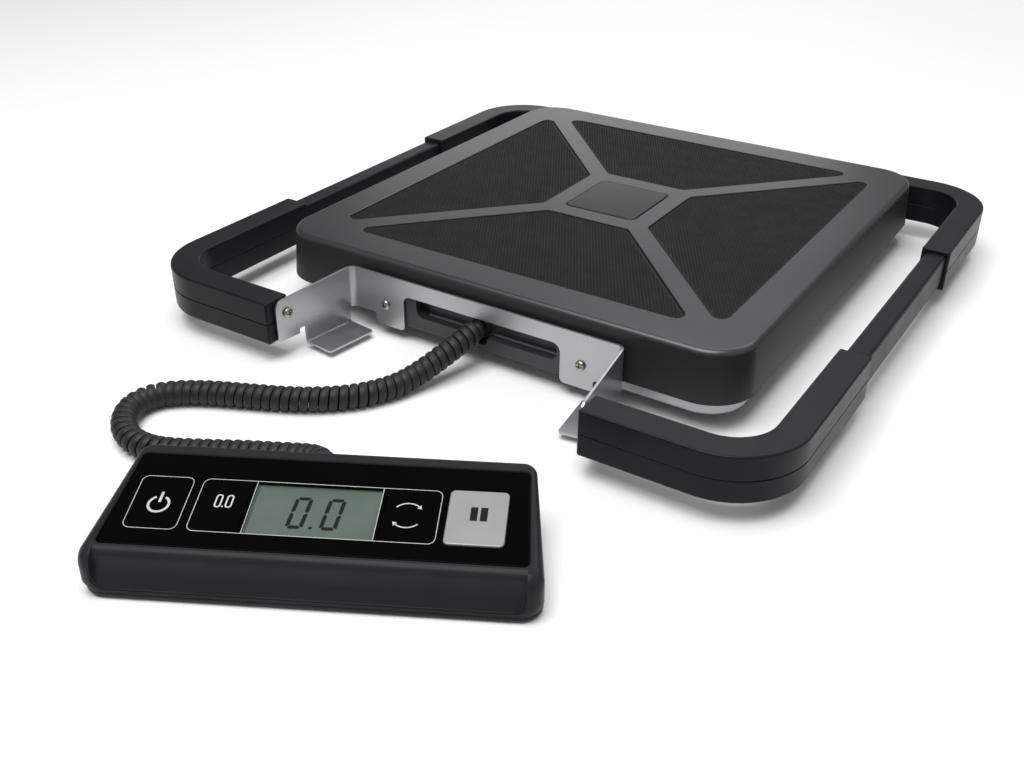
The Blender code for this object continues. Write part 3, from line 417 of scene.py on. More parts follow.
DECK = deck_finish()
MAT = even("mat_rubber", (0.0105, 0.0102, 0.0102), 0.6, specular=0.14, grain=0.25, depth=0.03)
BADGE = even(
    "badge_gloss", (0.008, 0.008, 0.0085), 0.22, specular=0.25, blotch=40.0, grain=1.5, depth=0.004
)
BRACKET = brushed(
    "bracket_satin", (0.44, 0.445, 0.47), 0.32, 0.9,
    vary=0.03, stretch=(1.0, 1.0, 3.0), size=0.7, depth=0.0008,
)
ZINC = brushed("zinc_screw", (0.42, 0.405, 0.34), 0.32, stretch=(1.0, 1.0, 1.0), size=0.8)
GRIP = even("grip_plastic", (0.0098, 0.0095, 0.0118), 0.36, specular=0.14, grain=0.4, depth=0.02)
TUBE = even("tube_paint", (0.0125, 0.0122, 0.0155), 0.38, specular=0.1, grain=0.5, depth=0.02)
TRAY = brushed("tray_metal", (0.45, 0.45, 0.47), 0.4, 0.85)
# Dark grey for the added front block behind the bracket's window: painted shade of the recess, darker than
# the silver tray it belongs to.
TRAY_SHADE_FRONT = even("tray_front_painted_shade", (0.045, 0.045, 0.048), 0.35, 0.4, 0.4)
RUBBER = even("black_rubber", (0.014, 0.014, 0.014), 0.7, specular=0.3, grain=0.3, depth=0.04)
CORD = even("cord_rubber", (0.017, 0.017, 0.0182), 0.5, specular=0.3, blotch=6.0, grain=0.3, depth=0.03)
HOUSING = even("housing_plastic", (0.019, 0.019, 0.0215), 0.34, specular=0.11, grain=0.35, depth=0.02)
GLOSS = even(
    "panel_gloss", (0.0014, 0.0014, 0.0015), 0.2, specular=0.03, blotch=50.0, grain=3.0, depth=0.002
)
SILVER = brushed("key_silver", (0.305, 0.305, 0.3), 0.4, 0.35, stretch=(1.0, 1.0, 1.0), size=0.5)
PRINT = even("print_silver", (0.52, 0.51, 0.50), 0.45, 0.1, blotch=4.0, grain=0.5, depth=0.002)
PRINT_DARK = even(
    "print_dark", (0.008, 0.008, 0.009), 0.5, specular=0.1, blotch=4.0, grain=0.5, depth=0.002
)
LCD = even(
    "lcd_glass", (0.122, 0.146, 0.130), 0.4, specular=0.15, blotch=22.0, vary=0.04, grain=0.5, depth=0.002
)
SEGMENT = even("lcd_segment", (0.012, 0.015, 0.013), 0.5, specular=0.1, blotch=5.0, grain=0.5, depth=0.002)
CLEAR = clear_finish()
STEEL = brushed("frame_steel", (0.5, 0.5, 0.5), 0.4)
ALUMINIUM = brushed("cell_aluminium", (0.68, 0.68, 0.69), 0.33)
BOARD = even("board_green", (0.02, 0.15, 0.05), 0.4, blotch=9.0, vary=0.3, grain=1.2, depth=0.05)
WRAP = even("cell_wrap", (0.09, 0.095, 0.12), 0.3, blotch=12.0, vary=0.3, coat=0.4)
SOCKET = brushed("socket_metal", (0.66, 0.66, 0.66), 0.3, size=0.8)


# Pieces


def piece(name, mesh, finish, body, nodes, where=BASE):
    """One visible object on a CAD body, in place of the CAD nodes."""
    mesh.name = name
    mesh.transform(where)
    mesh.materials.clear()
    mesh.materials.append(finish)
    thing = placed(name, mesh)
    mesh.shade_smooth()
    mesh.set_sharp_from_angle(angle=math.radians(32))
    weighted = thing.modifiers.new("even_shading", "WEIGHTED_NORMAL")
    weighted.keep_sharp = True
    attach(thing, body)
    if nodes:
        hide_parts(*nodes)
    return thing


def dress(finish, *nodes):
    """Gives carried-over CAD nodes a finish."""
    for node in nodes:
        NODES[node].data.materials.clear()
        NODES[node].data.materials.append(finish)


def camera():
    """The camera stands in front and to the right, looking down on the platform."""
    place = BASE @ Vector((0.3147, -0.6147, 0.3169))
    target = BASE @ Vector((0.0703, -0.2356, 0.048))
    made = bpy.data.objects.new("camera", bpy.data.cameras.new("camera"))
    made.data.lens, made.data.sensor_width = 39.12, 36.0
    made.data.clip_start = 0.02
    turn = (target - place).to_track_quat("-Z", "Y") @ Quaternion((0.0, 0.0, 1.0), math.radians(0.21))
    made.matrix_world = Matrix.Translation(place) @ turn.to_matrix().to_4x4()
    bpy.context.scene.collection.objects.link(made)
    bpy.context.scene.camera = made


# Cord

CORD_DIAMETER = 13.6
CORD_FLOOR = 7.0
WIRE_ACROSS, WIRE_ALONG = 4.2, 4.6
COIL_PITCH = 4.95
CORD_ROUTE = (
    (-3.0, -156.6, 22.0), (-3.6, -163.0, 20.6), (-6.0, -175.0, 17.6),
    (-9.6, -188.0, 13.4), (-13.4, -199.0, 9.8), (-17.2, -210.0, 7.5),
    (-21.6, -220.5, CORD_FLOOR), (-29.0, -232.5, CORD_FLOOR), (-40.5, -244.0, CORD_FLOOR),
    (-57.0, -255.0, CORD_FLOOR), (-79.0, -265.5, CORD_FLOOR), (-97.0, -274.0, CORD_FLOOR),
    (-110.5, -282.5, CORD_FLOOR), (-118.5, -291.0, CORD_FLOOR), (-121.5, -300.0, CORD_FLOOR),
    (-120.0, -309.0, CORD_FLOOR), (-114.6, -317.0, CORD_FLOOR), (-105.9, -323.9, CORD_FLOOR),
    (-95.0, -327.7, CORD_FLOOR), (-82.8, -327.3, CORD_FLOOR), (-70.5, -322.8, CORD_FLOOR),
    (-54.7, -313.9, CORD_FLOOR), (-39.0, -304.8, CORD_FLOOR), (-27.7, -298.9, CORD_FLOOR),
    (-16.8, -293.9, 7.5), (-8.7, -292.3, 8.8), (-1.9, -293.7, 10.3),
    (4.1, -297.4, 11.5), (8.4, -302.8, 12.0), (9.5, -304.8, 12.0),
)


def smooth_route(points, spacing):
    """Points at even spacing on a Catmull-Rom curve through the route's own points."""
    route = [Vector(point) for point in points]
    ends = [route[0] * 2 - route[1]] + route + [route[-1] * 2 - route[-2]]
    fine = []
    for a, b, c, d in zip(ends, ends[1:], ends[2:], ends[3:]):
        for step in range(24):
            t = step / 24
            square, cube = 2 * a - 5 * b + 4 * c - d, 3 * b - a - 3 * c + d
            fine.append(0.5 * (2 * b + (c - a) * t + square * t**2 + cube * t**3))
    fine.append(route[-1])
    length = sum((q - p).length for p, q in zip(fine, fine[1:]))
    count = round(length / spacing)
    evenly, walked, wanted = [fine[0]], 0.0, 1
    for p, q in zip(fine, fine[1:]):
        stride = (q - p).length
        while wanted < count and walked + stride >= wanted * length / count:
            evenly.append(p.lerp(q, (wanted * length / count - walked) / stride))
            wanted += 1
        walked += stride
    return evenly + [route[-1]], length


def curly_cord():
    """A helix of one flattened wire along the route, bending between the base and the display unit."""
    around = 18
    spacing = COIL_PITCH / around
    route, length = smooth_route(CORD_ROUTE, spacing)
    radius = CORD_DIAMETER / 2 - WIRE_ACROSS / 2
    up = Vector((0.0, 0.0, 1.0))
    section = []
    for index in range(10):
        turn = 2 * math.pi * (index + 0.5) / 10
        c, s = math.cos(turn), math.sin(turn)
        flat = (abs(c) ** 4 + abs(s) ** 4) ** -0.25
        section.append((c * flat * WIRE_ACROSS / 2, s * flat * WIRE_ALONG / 2))
    rings = []
    last = len(route) - 1
    for index, place in enumerate(route):
        along = (route[min(index + 1, last)] - route[max(index - 1, 0)]).normalized()
        side = along.cross(up).normalized()
        over = side.cross(along).normalized()
        turn = 2 * math.pi * index / around
        end = min(index, last - index) / around
        tuck = min(1.0, 0.55 + 0.45 * end)
        out = side * math.cos(turn) + over * math.sin(turn)
        rings.append([place + out * (radius * tuck + u) + along * v for u, v in section])
    thing = piece("curly_cord_helix", loft(rings), CORD, "root", ())
    for modifier in list(thing.modifiers):
        thing.modifiers.remove(modifier)
    thing.parent = None
    del thing["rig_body"]
    thing.data.shade_smooth()
    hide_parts("curly_cord")
    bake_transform(thing)


# Platform

COVER_HALF = (151.9, 157.0)
SKIRT_HALF = (153.6, 159.0)
COVER_CORNER = 25.0
SKIRT_LOW = 18.0
EDGE_ROLL = 3.4
POCKET_DEPTH = 1.4
MAT_TOP = TOP - 0.3
DOT_PITCH = 2.16
DOT_RADIUS = 0.74
BADGE_HALF = (25.1, 26.5)


def mat_outlines():
    """The four trapezoids between the deck's diagonal ribs."""
    long_front, long_back = (114.5, -132.1), (28.6, -39.8)
    side_outer, side_inner = (128.6, 127.7), (37.7, 30.5)
    front = [(-long_front[0], long_front[1]), long_front, long_back, (-long_back[0], long_back[1])]
    right = [(side_outer[0], -side_outer[1]), side_outer, side_inner, (side_inner[0], -side_inner[1])]
    return {
        "front_mat": front,
        "rear_mat": [(-x, -y) for x, y in front],
        "right_mat": right,
        "left_mat": [(-x, -y) for x, y in right],
    }


def cover():
    """The pressed cover: a flared skirt, a rolled edge, and five pockets with soft rims."""
    turns = [math.pi / 2 * step / 8 for step in range(9)]
    rings = [at(rectangle(*SKIRT_HALF, COVER_CORNER + 1, steps=20), SKIRT_LOW)]
    rings.append(at(rectangle(SKIRT_HALF[0] - 0.4, SKIRT_HALF[1] - 0.5, COVER_CORNER + 0.7, steps=20), 25.0))
    for turn in turns:
        inset = EDGE_ROLL * (1 - math.cos(turn))
        outline = rectangle(COVER_HALF[0] - inset, COVER_HALF[1] - inset, COVER_CORNER - inset, steps=20)
        rings.append(at(outline, TOP - EDGE_ROLL * (1 - math.sin(turn))))
    solid = loft(rings)
    room = prism(rectangle(149.9, 155.0, 23.0, steps=10), SKIRT_LOW - 5, TOP - 3.0)
    tools = [room, block((-75.5, -165.0, 5.0), (75.5, -148.0, 36.0))]
    rims = [(0.0, -POCKET_DEPTH), (0.0, -0.55), (-0.16, -0.2), (-0.45, -0.02), (-0.75, 0.06), (-0.75, 1.0)]
    for corners in mat_outlines().values():
        tools.append(loft([at(rounded(corners, 5.0, inset), TOP + z) for inset, z in rims]))
    badge = [at(span((-BADGE_HALF[0], -BADGE_HALF[1]), BADGE_HALF, 4.5, inset), TOP + z) for inset, z in rims]
    solid = carve(solid, *tools, loft(badge))
    piece("platform_cover_pressed", solid, DECK, "platform", ["platform_cover"])


def inside(point, corners):
    """True if the point is to the left of each side of the outline."""
    x, y = point
    for (ax, ay), (bx, by) in zip(corners, corners[1:] + corners[:1]):
        if (bx - ax) * (y - ay) - (by - ay) * (x - ax) < 0:
            return False
    return True


def mats():
    """Rubber mats with raised dots in a hexagonal lattice inside a smooth border."""
    base_top = MAT_TOP - 0.42
    row_height = DOT_PITCH * math.sqrt(3) / 2
    hexagon = [(math.cos(math.pi / 3 * k), math.sin(math.pi / 3 * k)) for k in range(6)]
    for name, corners in mat_outlines().items():
        bottom = TOP - POCKET_DEPTH + GAP
        plate = rolled(lambda inset: rounded(corners, 4.7, GAP + inset), bottom, base_top, 0.0, 0.25, 3)
        field = [tuple(corner) for corner in shrunk(corners, 2.1)]
        bm = bmesh.new()
        bm.from_mesh(plate)
        rows = range(int(-130 / row_height), int(130 / row_height) + 1)
        for row in rows:
            for column in range(-62, 63):
                x = (column + 0.5 * (row % 2)) * DOT_PITCH
                y = row * row_height
                if not inside((x, y), field):
                    continue
                rings = []
                for radius, height in ((DOT_RADIUS, base_top - 0.05), (DOT_RADIUS * 0.62, MAT_TOP)):
                    ring = [(x + radius * c, y + radius * s, height) for c, s in hexagon]
                    rings.append([bm.verts.new(Vector(point) * MM) for point in ring])
                for k in range(6):
                    bm.faces.new((rings[0][k - 1], rings[0][k], rings[1][k], rings[1][k - 1]))
                bm.faces.new(rings[1])
                bm.faces.new(rings[0][::-1])
        thing = piece(name + "_dotted", finished(bm), MAT, "platform", [name])
        thing.data.set_sharp_from_angle(angle=math.radians(70))


def badge():
    half_x, half_y = BADGE_HALF[0] - GAP, BADGE_HALF[1] - GAP

    def outline(inset):
        return span((-half_x, -half_y), (half_x, half_y), 4.2, inset)

    mesh = rolled(outline, TOP - POCKET_DEPTH + GAP, TOP + 0.2, 0.0, 0.8)
    piece("badge_plate_domed", mesh, BADGE, "platform", ["badge_plate"])


# Base

TRAY_HALF = (148.0, 152.0)
TRAY_HEIGHTS = (7.3, 26.0)
BLOCK = ((-73.0, -159.6, 9.5), (73.0, -149.0, 34.0))
POCKET_BACK = -153.0
POCKET_X = (-45.0, 50.0)
GLAND = (-3.0, 22.0)
FOOT_PLACE = (120.0, 124.0)
EAR_X = 60.0
EAR_HALF = 10
EAR_Y = (151.0, 174.0)
EAR_HEIGHTS = (10.5, 14.7)
EAR_SCREW_Y = 169.85
SCREW_BORE = 1.9


def ear_holes():
    """Cutters for the screws that hold the handle tube on the tray's ears."""
    holes = []
    for sx in (-1, 1):
        place = pointing((sx * EAR_X, EAR_SCREW_Y, EAR_HEIGHTS[0]), (0, 0, -1))
        holes.append(moved(turned([(SCREW_BORE, -9.0), (SCREW_BORE, 3.0)], 20), place))
    return holes


def tray_outline(inset):
    return rectangle(TRAY_HALF[0] - inset, TRAY_HALF[1] - inset, 22.0 - inset, steps=16)


def tray():
    shell = rolled(tray_outline, *TRAY_HEIGHTS, 2.2)
    shell = carve(shell, prism(tray_outline(2.0), TRAY_HEIGHTS[0] + 2.0, 40.0))
    ears = []
    for sx in (-1, 1):
        left, right = sx * EAR_X - EAR_HALF, sx * EAR_X + EAR_HALF
        ears.append(prism(span((left, EAR_Y[0]), (right, EAR_Y[1]), 3.0), *EAR_HEIGHTS))
    shell = carve(shell, *ears, operation="UNION")
    shell = carve(shell, block((-72.7, -153.0, 9.2), (72.7, -148.7, 34.3)), *ear_holes())
    piece("base_tray_shell", shell, TRAY, "root", ["base_tray"])

    block_front, block_back = BLOCK[0][1], BLOCK[1][1]
    steps = ((0.9, block_front), (0.25, block_front + 0.3), (0.0, block_front + 0.9), (0.0, block_back))
    rings = []
    for inset, y in steps:
        rings.append([(x, y, z) for x, z in span(BLOCK[0][::2], BLOCK[1][::2], 1.2, inset, 4)])
    pocket = prism(span((POCKET_X[0], 18.0), (POCKET_X[1], 42.0), 5.0), BLOCK[0][1] - 3, POCKET_BACK, "y")
    dip = prism(span((GLAND[0] - 8.6, 13.4), (GLAND[0] + 7.6, 23.0), 3.0), BLOCK[0][1] - 3, POCKET_BACK, "y")
    bore = moved(turned([(5.1, -10.0), (5.1, 10.0)]), pointing((GLAND[0], BLOCK[1][1], GLAND[1]), (0, 1, 0)))
    front = carve(loft(rings), pocket, dip, bore)
    # The added block is drawn dark grey as painted shade in the window's recess.
    piece("base_front_block", front, TRAY_SHADE_FRONT, "root", ())
    sills = []
    for left, right in ((POCKET_X[0] + 5.0, GLAND[0] - 9.4), (GLAND[0] + 8.4, POCKET_X[1] - 3.0)):
        outline = fillet([(-153.1, 18.05, 0), (-151.9, 18.05, 0), (-151.9, 19.2, 0), (-153.1, 18.95, 0.3)], 3)
        sills.append(shifted(prism(outline, left, right, "x"), 0, -1.15, 0))
    piece("pocket_sill", together(*sills), BRACKET, "root", ())


def feet():
    profile = [(10.4, 0.0), (11.9, 0.35), (12.8, 1.2), (13.1, 2.2), (14.4, 6.7), (14.4, 7.0)]
    for side, sx in SIDES:
        for end, sy in (("front", -1), ("rear", 1)):
            mesh = shifted(turned(profile, 48), sx * FOOT_PLACE[0], sy * FOOT_PLACE[1], 0)
            name = f"foot_{end}_{side}"
            piece(name + "_turned", mesh, RUBBER, "root", [name])


def gland():
    profile = [(6.3, -4.8), (6.5, -4.6), (6.5, -2.9), (4.8, -2.8), (4.8, 1.8), (6.3, 1.8), (6.5, 2.0)]
    profile += [(6.5, 2.8), (5.7, 3.1), (5.5, 3.5), (5.2, 3.7)]
    mesh = moved(turned(profile), pointing((GLAND[0], POCKET_BACK + 1.5, GLAND[1]), (0, -1, 0)))
    piece("cord_gland_turned", mesh, RUBBER, "root", ["cord_gland"])


# Bracket

WEB_HALF = 91.8
WEB_BACK = -160.0
ARM_FLARE = math.radians(7.4)
ARM_LENGTH = 59.5
TAB_REACH = (5.0, 39.3)
TAB_WIDTH = 21.0
TAB_LOW = 3.5
WINDOW_HALF, WINDOW_TOP = 53.0, 30.0
WEB_SCREW = (66.0, 21.0)
ARM_SCREW = (51.5, 28.4)
BEND = 5.4
CURL = 2.6
BEND_TURN = math.pi / 2 - ARM_FLARE
BEND_TANGENT = BEND * math.tan(BEND_TURN / 2)
BEND_START = WEB_HALF - BEND_TANGENT
BEND_END = BEND_START + BEND * BEND_TURN
CURL_START = TAB_LOW + CURL


def arm_frame(sx):
    """An arm's own frame: X runs forward along the outer face from the bend, Y points in towards the dock."""
    forward = Vector((sx * math.sin(ARM_FLARE), -math.cos(ARM_FLARE), 0.0))
    inward = Vector((-sx * math.cos(ARM_FLARE), -math.sin(ARM_FLARE), 0.0))
    turn = Matrix((forward, inward, Vector((0.0, 0.0, 1.0)))).transposed().to_4x4()
    return Matrix.Translation(Vector((sx * WEB_HALF, WEB_BACK, 0.0)) * MM) @ turn


def folded(point):
    """Where a point of the flat blank (along, up, depth) lies once the blank is folded."""
    along, up, depth = point
    sx = 1 if along >= 0 else -1
    along = abs(along)
    if up < CURL_START:
        turn = (CURL_START - up) / CURL
        if turn < math.pi / 2:
            inward = CURL - (CURL - depth) * math.cos(turn)
            height = CURL_START - (CURL - depth) * math.sin(turn)
        else:
            inward = CURL + (turn - math.pi / 2) * CURL
            height = TAB_LOW + depth
    else:
        inward, height = depth, up
    if along <= BEND_START:
        return Vector((sx * along, WEB_BACK - inward, height))
    if along < BEND_END:
        turn = (along - BEND_START) / BEND
        reach = BEND - inward
        across, back = reach * math.sin(turn), reach * math.cos(turn)
        return Vector((sx * (BEND_START + across), WEB_BACK - BEND + back, height))
    reach = BEND_TANGENT + along - BEND_END
    return arm_frame(sx) @ (Vector((reach, inward, height)) * MM) / MM


def blank_along(arm_reach):
    return BEND_END + arm_reach - BEND_TANGENT


def bracket():
    """One sheet: a web with a window, an arm folded forward at each end, and a tab under each arm."""
    leg, leg_low, web_low, top = 74.0, 7, 14, 40
    notch_x, notch_high, arm_low, arm_high = 43.9, 15.3, 12, 37
    tab_end = CURL_START - CURL * math.pi / 2 - (TAB_WIDTH - CURL)
    half = [(0, WINDOW_TOP, 0), (WINDOW_HALF, WINDOW_TOP, 5), (WINDOW_HALF, leg_low, 3)]
    half += [(leg, leg_low, 3), (leg, web_low, 1.5)]
    arm = [(TAB_REACH[0], web_low, 1), (TAB_REACH[0], tab_end, 2), (TAB_REACH[1], tab_end, 2)]
    arm += [(TAB_REACH[1], notch_high, 1), (notch_x, notch_high, 1), (notch_x, arm_low, 0.8)]
    arm += [(ARM_LENGTH, arm_low, 2), (ARM_LENGTH, arm_high, 6)]
    half += [(blank_along(a), z, r) for a, z, r in arm]
    half += [(BEND_END, top, 0), (0, top, 0)]
    outline = fillet([(-x, z, r) for x, z, r in half[1:-1]][::-1] + half[1:-1], 6)
    blank = prism(outline, 0.0, SHEET)
    bm = bmesh.new()
    bm.from_mesh(blank)
    rims = [edge for edge in bm.edges if abs(edge.verts[0].co.z - edge.verts[1].co.z) < 1e-7]
    soften = {"segments": 2, "profile": 0.5, "affect": "EDGES", "clamp_overlap": True}
    bmesh.ops.bevel(bm, geom=rims, offset=0.22 * MM, **soften)
    mesh = mesh_from(bm)
    holes = []
    for sx in (-1, 1):
        for along, up in (WEB_SCREW, (blank_along(ARM_SCREW[0]), ARM_SCREW[1])):
            bore = turned([(SCREW_BORE, -1.0), (SCREW_BORE, 3.0)], 20)
            holes.append(shifted(bore, sx * along, up, 0.0))
    mesh = carve(mesh, *holes)
    bm = bmesh.new()
    bm.from_mesh(mesh)
    cuts = []
    for sx in (-1, 1):
        for k in range(11):
            cuts.append(((sx * (BEND_START + (BEND_END - BEND_START) * k / 10), 0), (1, 0, 0)))
    cuts += [((0, CURL_START - CURL * math.pi / 2 * k / 8), (0, 1, 0)) for k in range(9)]
    for place, normal in cuts:
        everything = bm.verts[:] + bm.edges[:] + bm.faces[:]
        plane = {"plane_co": Vector((*place, 0)) * MM, "plane_no": normal}
        bmesh.ops.bisect_plane(bm, geom=everything, dist=1e-7, **plane)
    for vert in bm.verts:
        vert.co = folded(vert.co / MM) * MM
    mesh = mesh_from(bm)
    piece("display_bracket_folded", mesh, BRACKET, "root", ["display_bracket"])


def screw(name, place, direction, body, where, head=3.0, shank=1.5, length=9.0):
    """A pan-head screw with a cross recess. Its head's underside is at place."""
    profile = [(shank * 0.5, -length), (shank, -length + 0.8), (shank, 0.0), (head, 0.0), (head, 0.45)]
    profile += [(head * 0.98, 0.8), (head * 0.9, 1.2), (head * 0.75, 1.5), (head * 0.5, 1.7)]
    star = []
    for k in range(4):
        for reach, side in ((0.17, -0.17), (0.66, -0.15), (0.66, 0.15)):
            turn = Matrix.Rotation(math.pi / 2 * k, 2)
            star.append(turn @ Vector((reach * head, side * head)))
    low = [point * 0.6 for point in star]
    mesh = carve(turned(profile, 36), loft([at(low, 0.5), at(star, 1.8)]))
    spot = pointing(place, direction)
    piece(name + "_cross", moved(mesh, spot), ZINC, body, [name], where)


def bracket_screws():
    for side, sx in SIDES:
        place = (sx * WEB_SCREW[0], WEB_BACK - SHEET - GAP, WEB_SCREW[1])
        screw(f"web_screw_{side}", place, (0, -1, 0), "root", BASE, length=7.0)
        arm = arm_frame(sx)
        place = arm @ (Vector((ARM_SCREW[0], SHEET + GAP, ARM_SCREW[1])) * MM) / MM
        screw(f"arm_screw_{side}", place, arm.to_3x3() @ Vector((0, 1, 0)), "root", BASE)
        screw(f"rear_screw_{side}", (sx * EAR_X, EAR_SCREW_Y, EAR_HEIGHTS[0] - GAP), (0, 0, -1), "root", BASE)


# Carrying ring

RING_HALF = 200.8
RING_FRONT, RING_REAR = -224.6, 178.5
RING_WIDTH = 17.3
RING_CORNER = 41.0
GRIP_END_X = 100.0
GRIP_END_FRONT, GRIP_END_REAR = -97.0, 57.0
GRIP_HEIGHTS = (12.0, 37.9)
PARTING = 24.5
GRIP_WALL = 1.9
TUBE_INSET, TUBE_WALL = 2.2, 1.6
TUBE_HEIGHTS = (15.0, 35.2)
TUBE_END_X = 110.0


def ring_band(sx, corner_y, end_y, inset, start_x, trim):
    """The outline of the ring round one corner, from start_x to end_y, both ends pulled back by trim."""
    inward = math.copysign(1.0, -corner_y)
    outer_x, outer_y = RING_HALF - inset, corner_y + inward * inset
    inner_x, inner_y = RING_HALF - RING_WIDTH + inset, corner_y + inward * (RING_WIDTH - inset)
    first_x, last_y = start_x + trim, end_y - inward * trim
    soft = max(1.1 - trim, 0.05) if trim >= 0 else 0.0
    outer_r, inner_r = RING_CORNER - inset, RING_CORNER - RING_WIDTH + inset
    corners = [(first_x, outer_y, soft), (outer_x, outer_y, outer_r), (outer_x, last_y, soft)]
    corners += [(inner_x, last_y, soft), (inner_x, inner_y, inner_r), (first_x, inner_y, soft)]
    return fillet([(sx * x, y, r) for x, y, r in corners], 20)


def grips():
    ends = (("front", RING_FRONT, GRIP_END_FRONT), ("rear", RING_REAR, GRIP_END_REAR))
    for side, sx in SIDES:
        for end, corner_y, end_y in ends:

            def outline(inset, sx=sx, corner_y=corner_y, end_y=end_y):
                return ring_band(sx, corner_y, end_y, inset, GRIP_END_X, inset)

            start_x = TUBE_END_X - 0.5 if end == "front" else GRIP_END_X
            room = ring_band(sx, corner_y, end_y, GRIP_WALL, start_x, -3.0 if end == "rear" else -0.01)
            if end == "front":
                room = [Vector((x, y + 3.0)) if y > end_y - 1.0 else Vector((x, y)) for x, y in room]
            upper = rolled(outline, PARTING + GAP / 2, GRIP_HEIGHTS[1], 0.5, 1.3)
            upper = carve(upper, prism(room, PARTING - 5, TUBE_HEIGHTS[1] + GAP))
            lower = rolled(outline, GRIP_HEIGHTS[0], PARTING - GAP / 2, 1.5, 0.5)
            lower = carve(lower, prism(room, TUBE_HEIGHTS[0] - GAP, PARTING + 5))
            for half, mesh in (("upper", upper), ("lower", lower)):
                node = f"grip_{half}_{end}_{side}"
                piece(node + "_moulded", mesh, GRIP, "root", [node])


def tube_outline(inset, end_x):
    """The bent tube seen from above: a loop round the base that is open at the bracket."""
    outer_x, front, rear = RING_HALF - inset, RING_FRONT + inset, RING_REAR - inset
    width = RING_WIDTH - 2 * inset
    inner_x, inner_front, inner_rear = outer_x - width, front + width, rear - width
    outer_r, inner_r = RING_CORNER - inset, RING_CORNER - inset - width
    half = [(end_x, front, 0), (outer_x, front, outer_r), (outer_x, rear, outer_r)]
    back = [(inner_x, inner_rear, inner_r), (inner_x, inner_front, inner_r), (end_x, inner_front, 0)]
    left = [(-x, y, r) for x, y, r in half][::-1]
    left_back = [(-x, y, r) for x, y, r in back][::-1]
    return fillet(half + left + left_back + back, 16)


def handle_tube():
    solid = rolled(lambda inset: tube_outline(TUBE_INSET + inset, TUBE_END_X), *TUBE_HEIGHTS, 2.4, 2.4)
    hollow = tube_outline(TUBE_INSET + TUBE_WALL, TUBE_END_X - 3)
    tools = [prism(hollow, TUBE_HEIGHTS[0] + TUBE_WALL, TUBE_HEIGHTS[1] - TUBE_WALL)]
    tools += ear_holes()
    piece("handle_tube_bent", carve(solid, *tools), TUBE, "root", ["handle_tube"])


# Display unit

UNIT_HALF_FRONT, UNIT_HALF_BACK = 98.5, 90.0
UNIT_SPLIT = 3.1
BOSS_RADIUS, BOSS_BORE = 3.6, 1.6
FOOT_CORNER = 10.0
PANEL_HALF_FRONT, PANEL_HALF_BACK = 91.0, 87.5
PANEL_HALF_DEPTH = 26.65
LCD_SPAN = (-31.0, 24.6)
KEY_SPANS = {
    "power_key": (-82.6, -59.7),
    "tare_key": (-54.8, -33.0),
    "unit_key": (26.6, 50.6),
    "hold_key": (53.8, 80.2),
}
KEY_ROW = (-17.3, 12.6)
HOLD_ROW = (-17.7, 13.9)
KEY_DEPTH = 4.9
RELIEF = (-11.0, 12.0)
BOSSES = ((88.0, -18.0), (83.0, 26.0))
PADS = ((74.0, -22.0), (74.0, 31.9))


def unit_outline(inset, corner=7.0, steps=14):
    """The display unit seen from above. corner is the radius of its front corners."""
    slope = (UNIT_HALF_FRONT - UNIT_HALF_BACK) / (UNIT_BACK - UNIT_FRONT)
    front_half, back_half = UNIT_HALF_FRONT - inset - slope * inset, UNIT_HALF_BACK - inset + slope * inset
    front, back = UNIT_FRONT + inset, UNIT_BACK - inset
    corners = [(-front_half, front, corner - inset), (front_half, front, corner - inset)]
    corners += [(back_half, back, 6.5 - inset), (-back_half, back, 6.5 - inset)]
    return fillet(corners, steps)


def panel_outline(inset):
    front, back = PANEL_HALF_FRONT - inset, PANEL_HALF_BACK - inset
    depth, soft = PANEL_HALF_DEPTH - inset, max(2.5 - inset, 0.05)
    corners = [(-front, -depth), (front, -depth), (back, depth), (-back, depth)]
    return fillet([(x, y, soft) for x, y in corners], 6)


def housing_top(y):
    return 21.9 + (y + 26.6) * 0.17485


def leaning(y, z):
    """How far the front wall leans back at a height."""
    near_front = min(1.0, max(0.0, (-8.0 - y) / 23.5))
    return 0.6 * min(1.0, max(0.0, (z - 7.0) / 14.2)) * near_front


def edge_rounds(outline, edge_round, front_round):
    """The radius of the top edge at each point of the outline: larger along the front."""
    shares = [min(1.0, max(0.0, (-17.0 - y) / 10.0)) for _, y in outline]
    return [edge_round + (front_round - edge_round) * share * share * (3 - 2 * share) for share in shares]


def housing_rings(inset, floor, lower, edge_round, front_round):
    """Rings of a body with a sloping top and a rounded top edge."""
    outer, inner = unit_outline(inset), unit_outline(inset + 1.0)
    rounds = edge_rounds(outer, edge_round, front_round)
    rings = [at(unit_outline(inset, FOOT_CORNER), floor)]
    for share in (0.0, 0.25, 0.5, 0.75, 1.0):
        ring = []
        for (x, y), radius in zip(outer, rounds):
            high = housing_top(y) - lower - radius
            z = 7.0 + (high - 7.0) * share
            ring.append((x, y + leaning(y, z), z))
        rings.append(ring)
    steps = 8
    for step in range(1, steps + 1):
        turn = math.pi / 2 * step / steps
        ring = []
        for start, end, radius in zip(outer, inner, rounds):
            x, y = start + (end - start) * radius * (1 - math.cos(turn))
            back_y = y + leaning(y, housing_top(y))
            ring.append((x, back_y, housing_top(back_y) - lower - radius * (1 - math.sin(turn))))
        rings.append(ring)
    return rings


def dished(profile, half, low):
    """A tool that hollows the front face: its profile drawn along X, with its lower corners rounded."""
    face = span((-half, low), (half, 40.0), 6.0)
    return carve(prism(profile, -95.0, 95.0, "x"), prism(face, -40.0, -20.0, "y"), operation="INTERSECT")


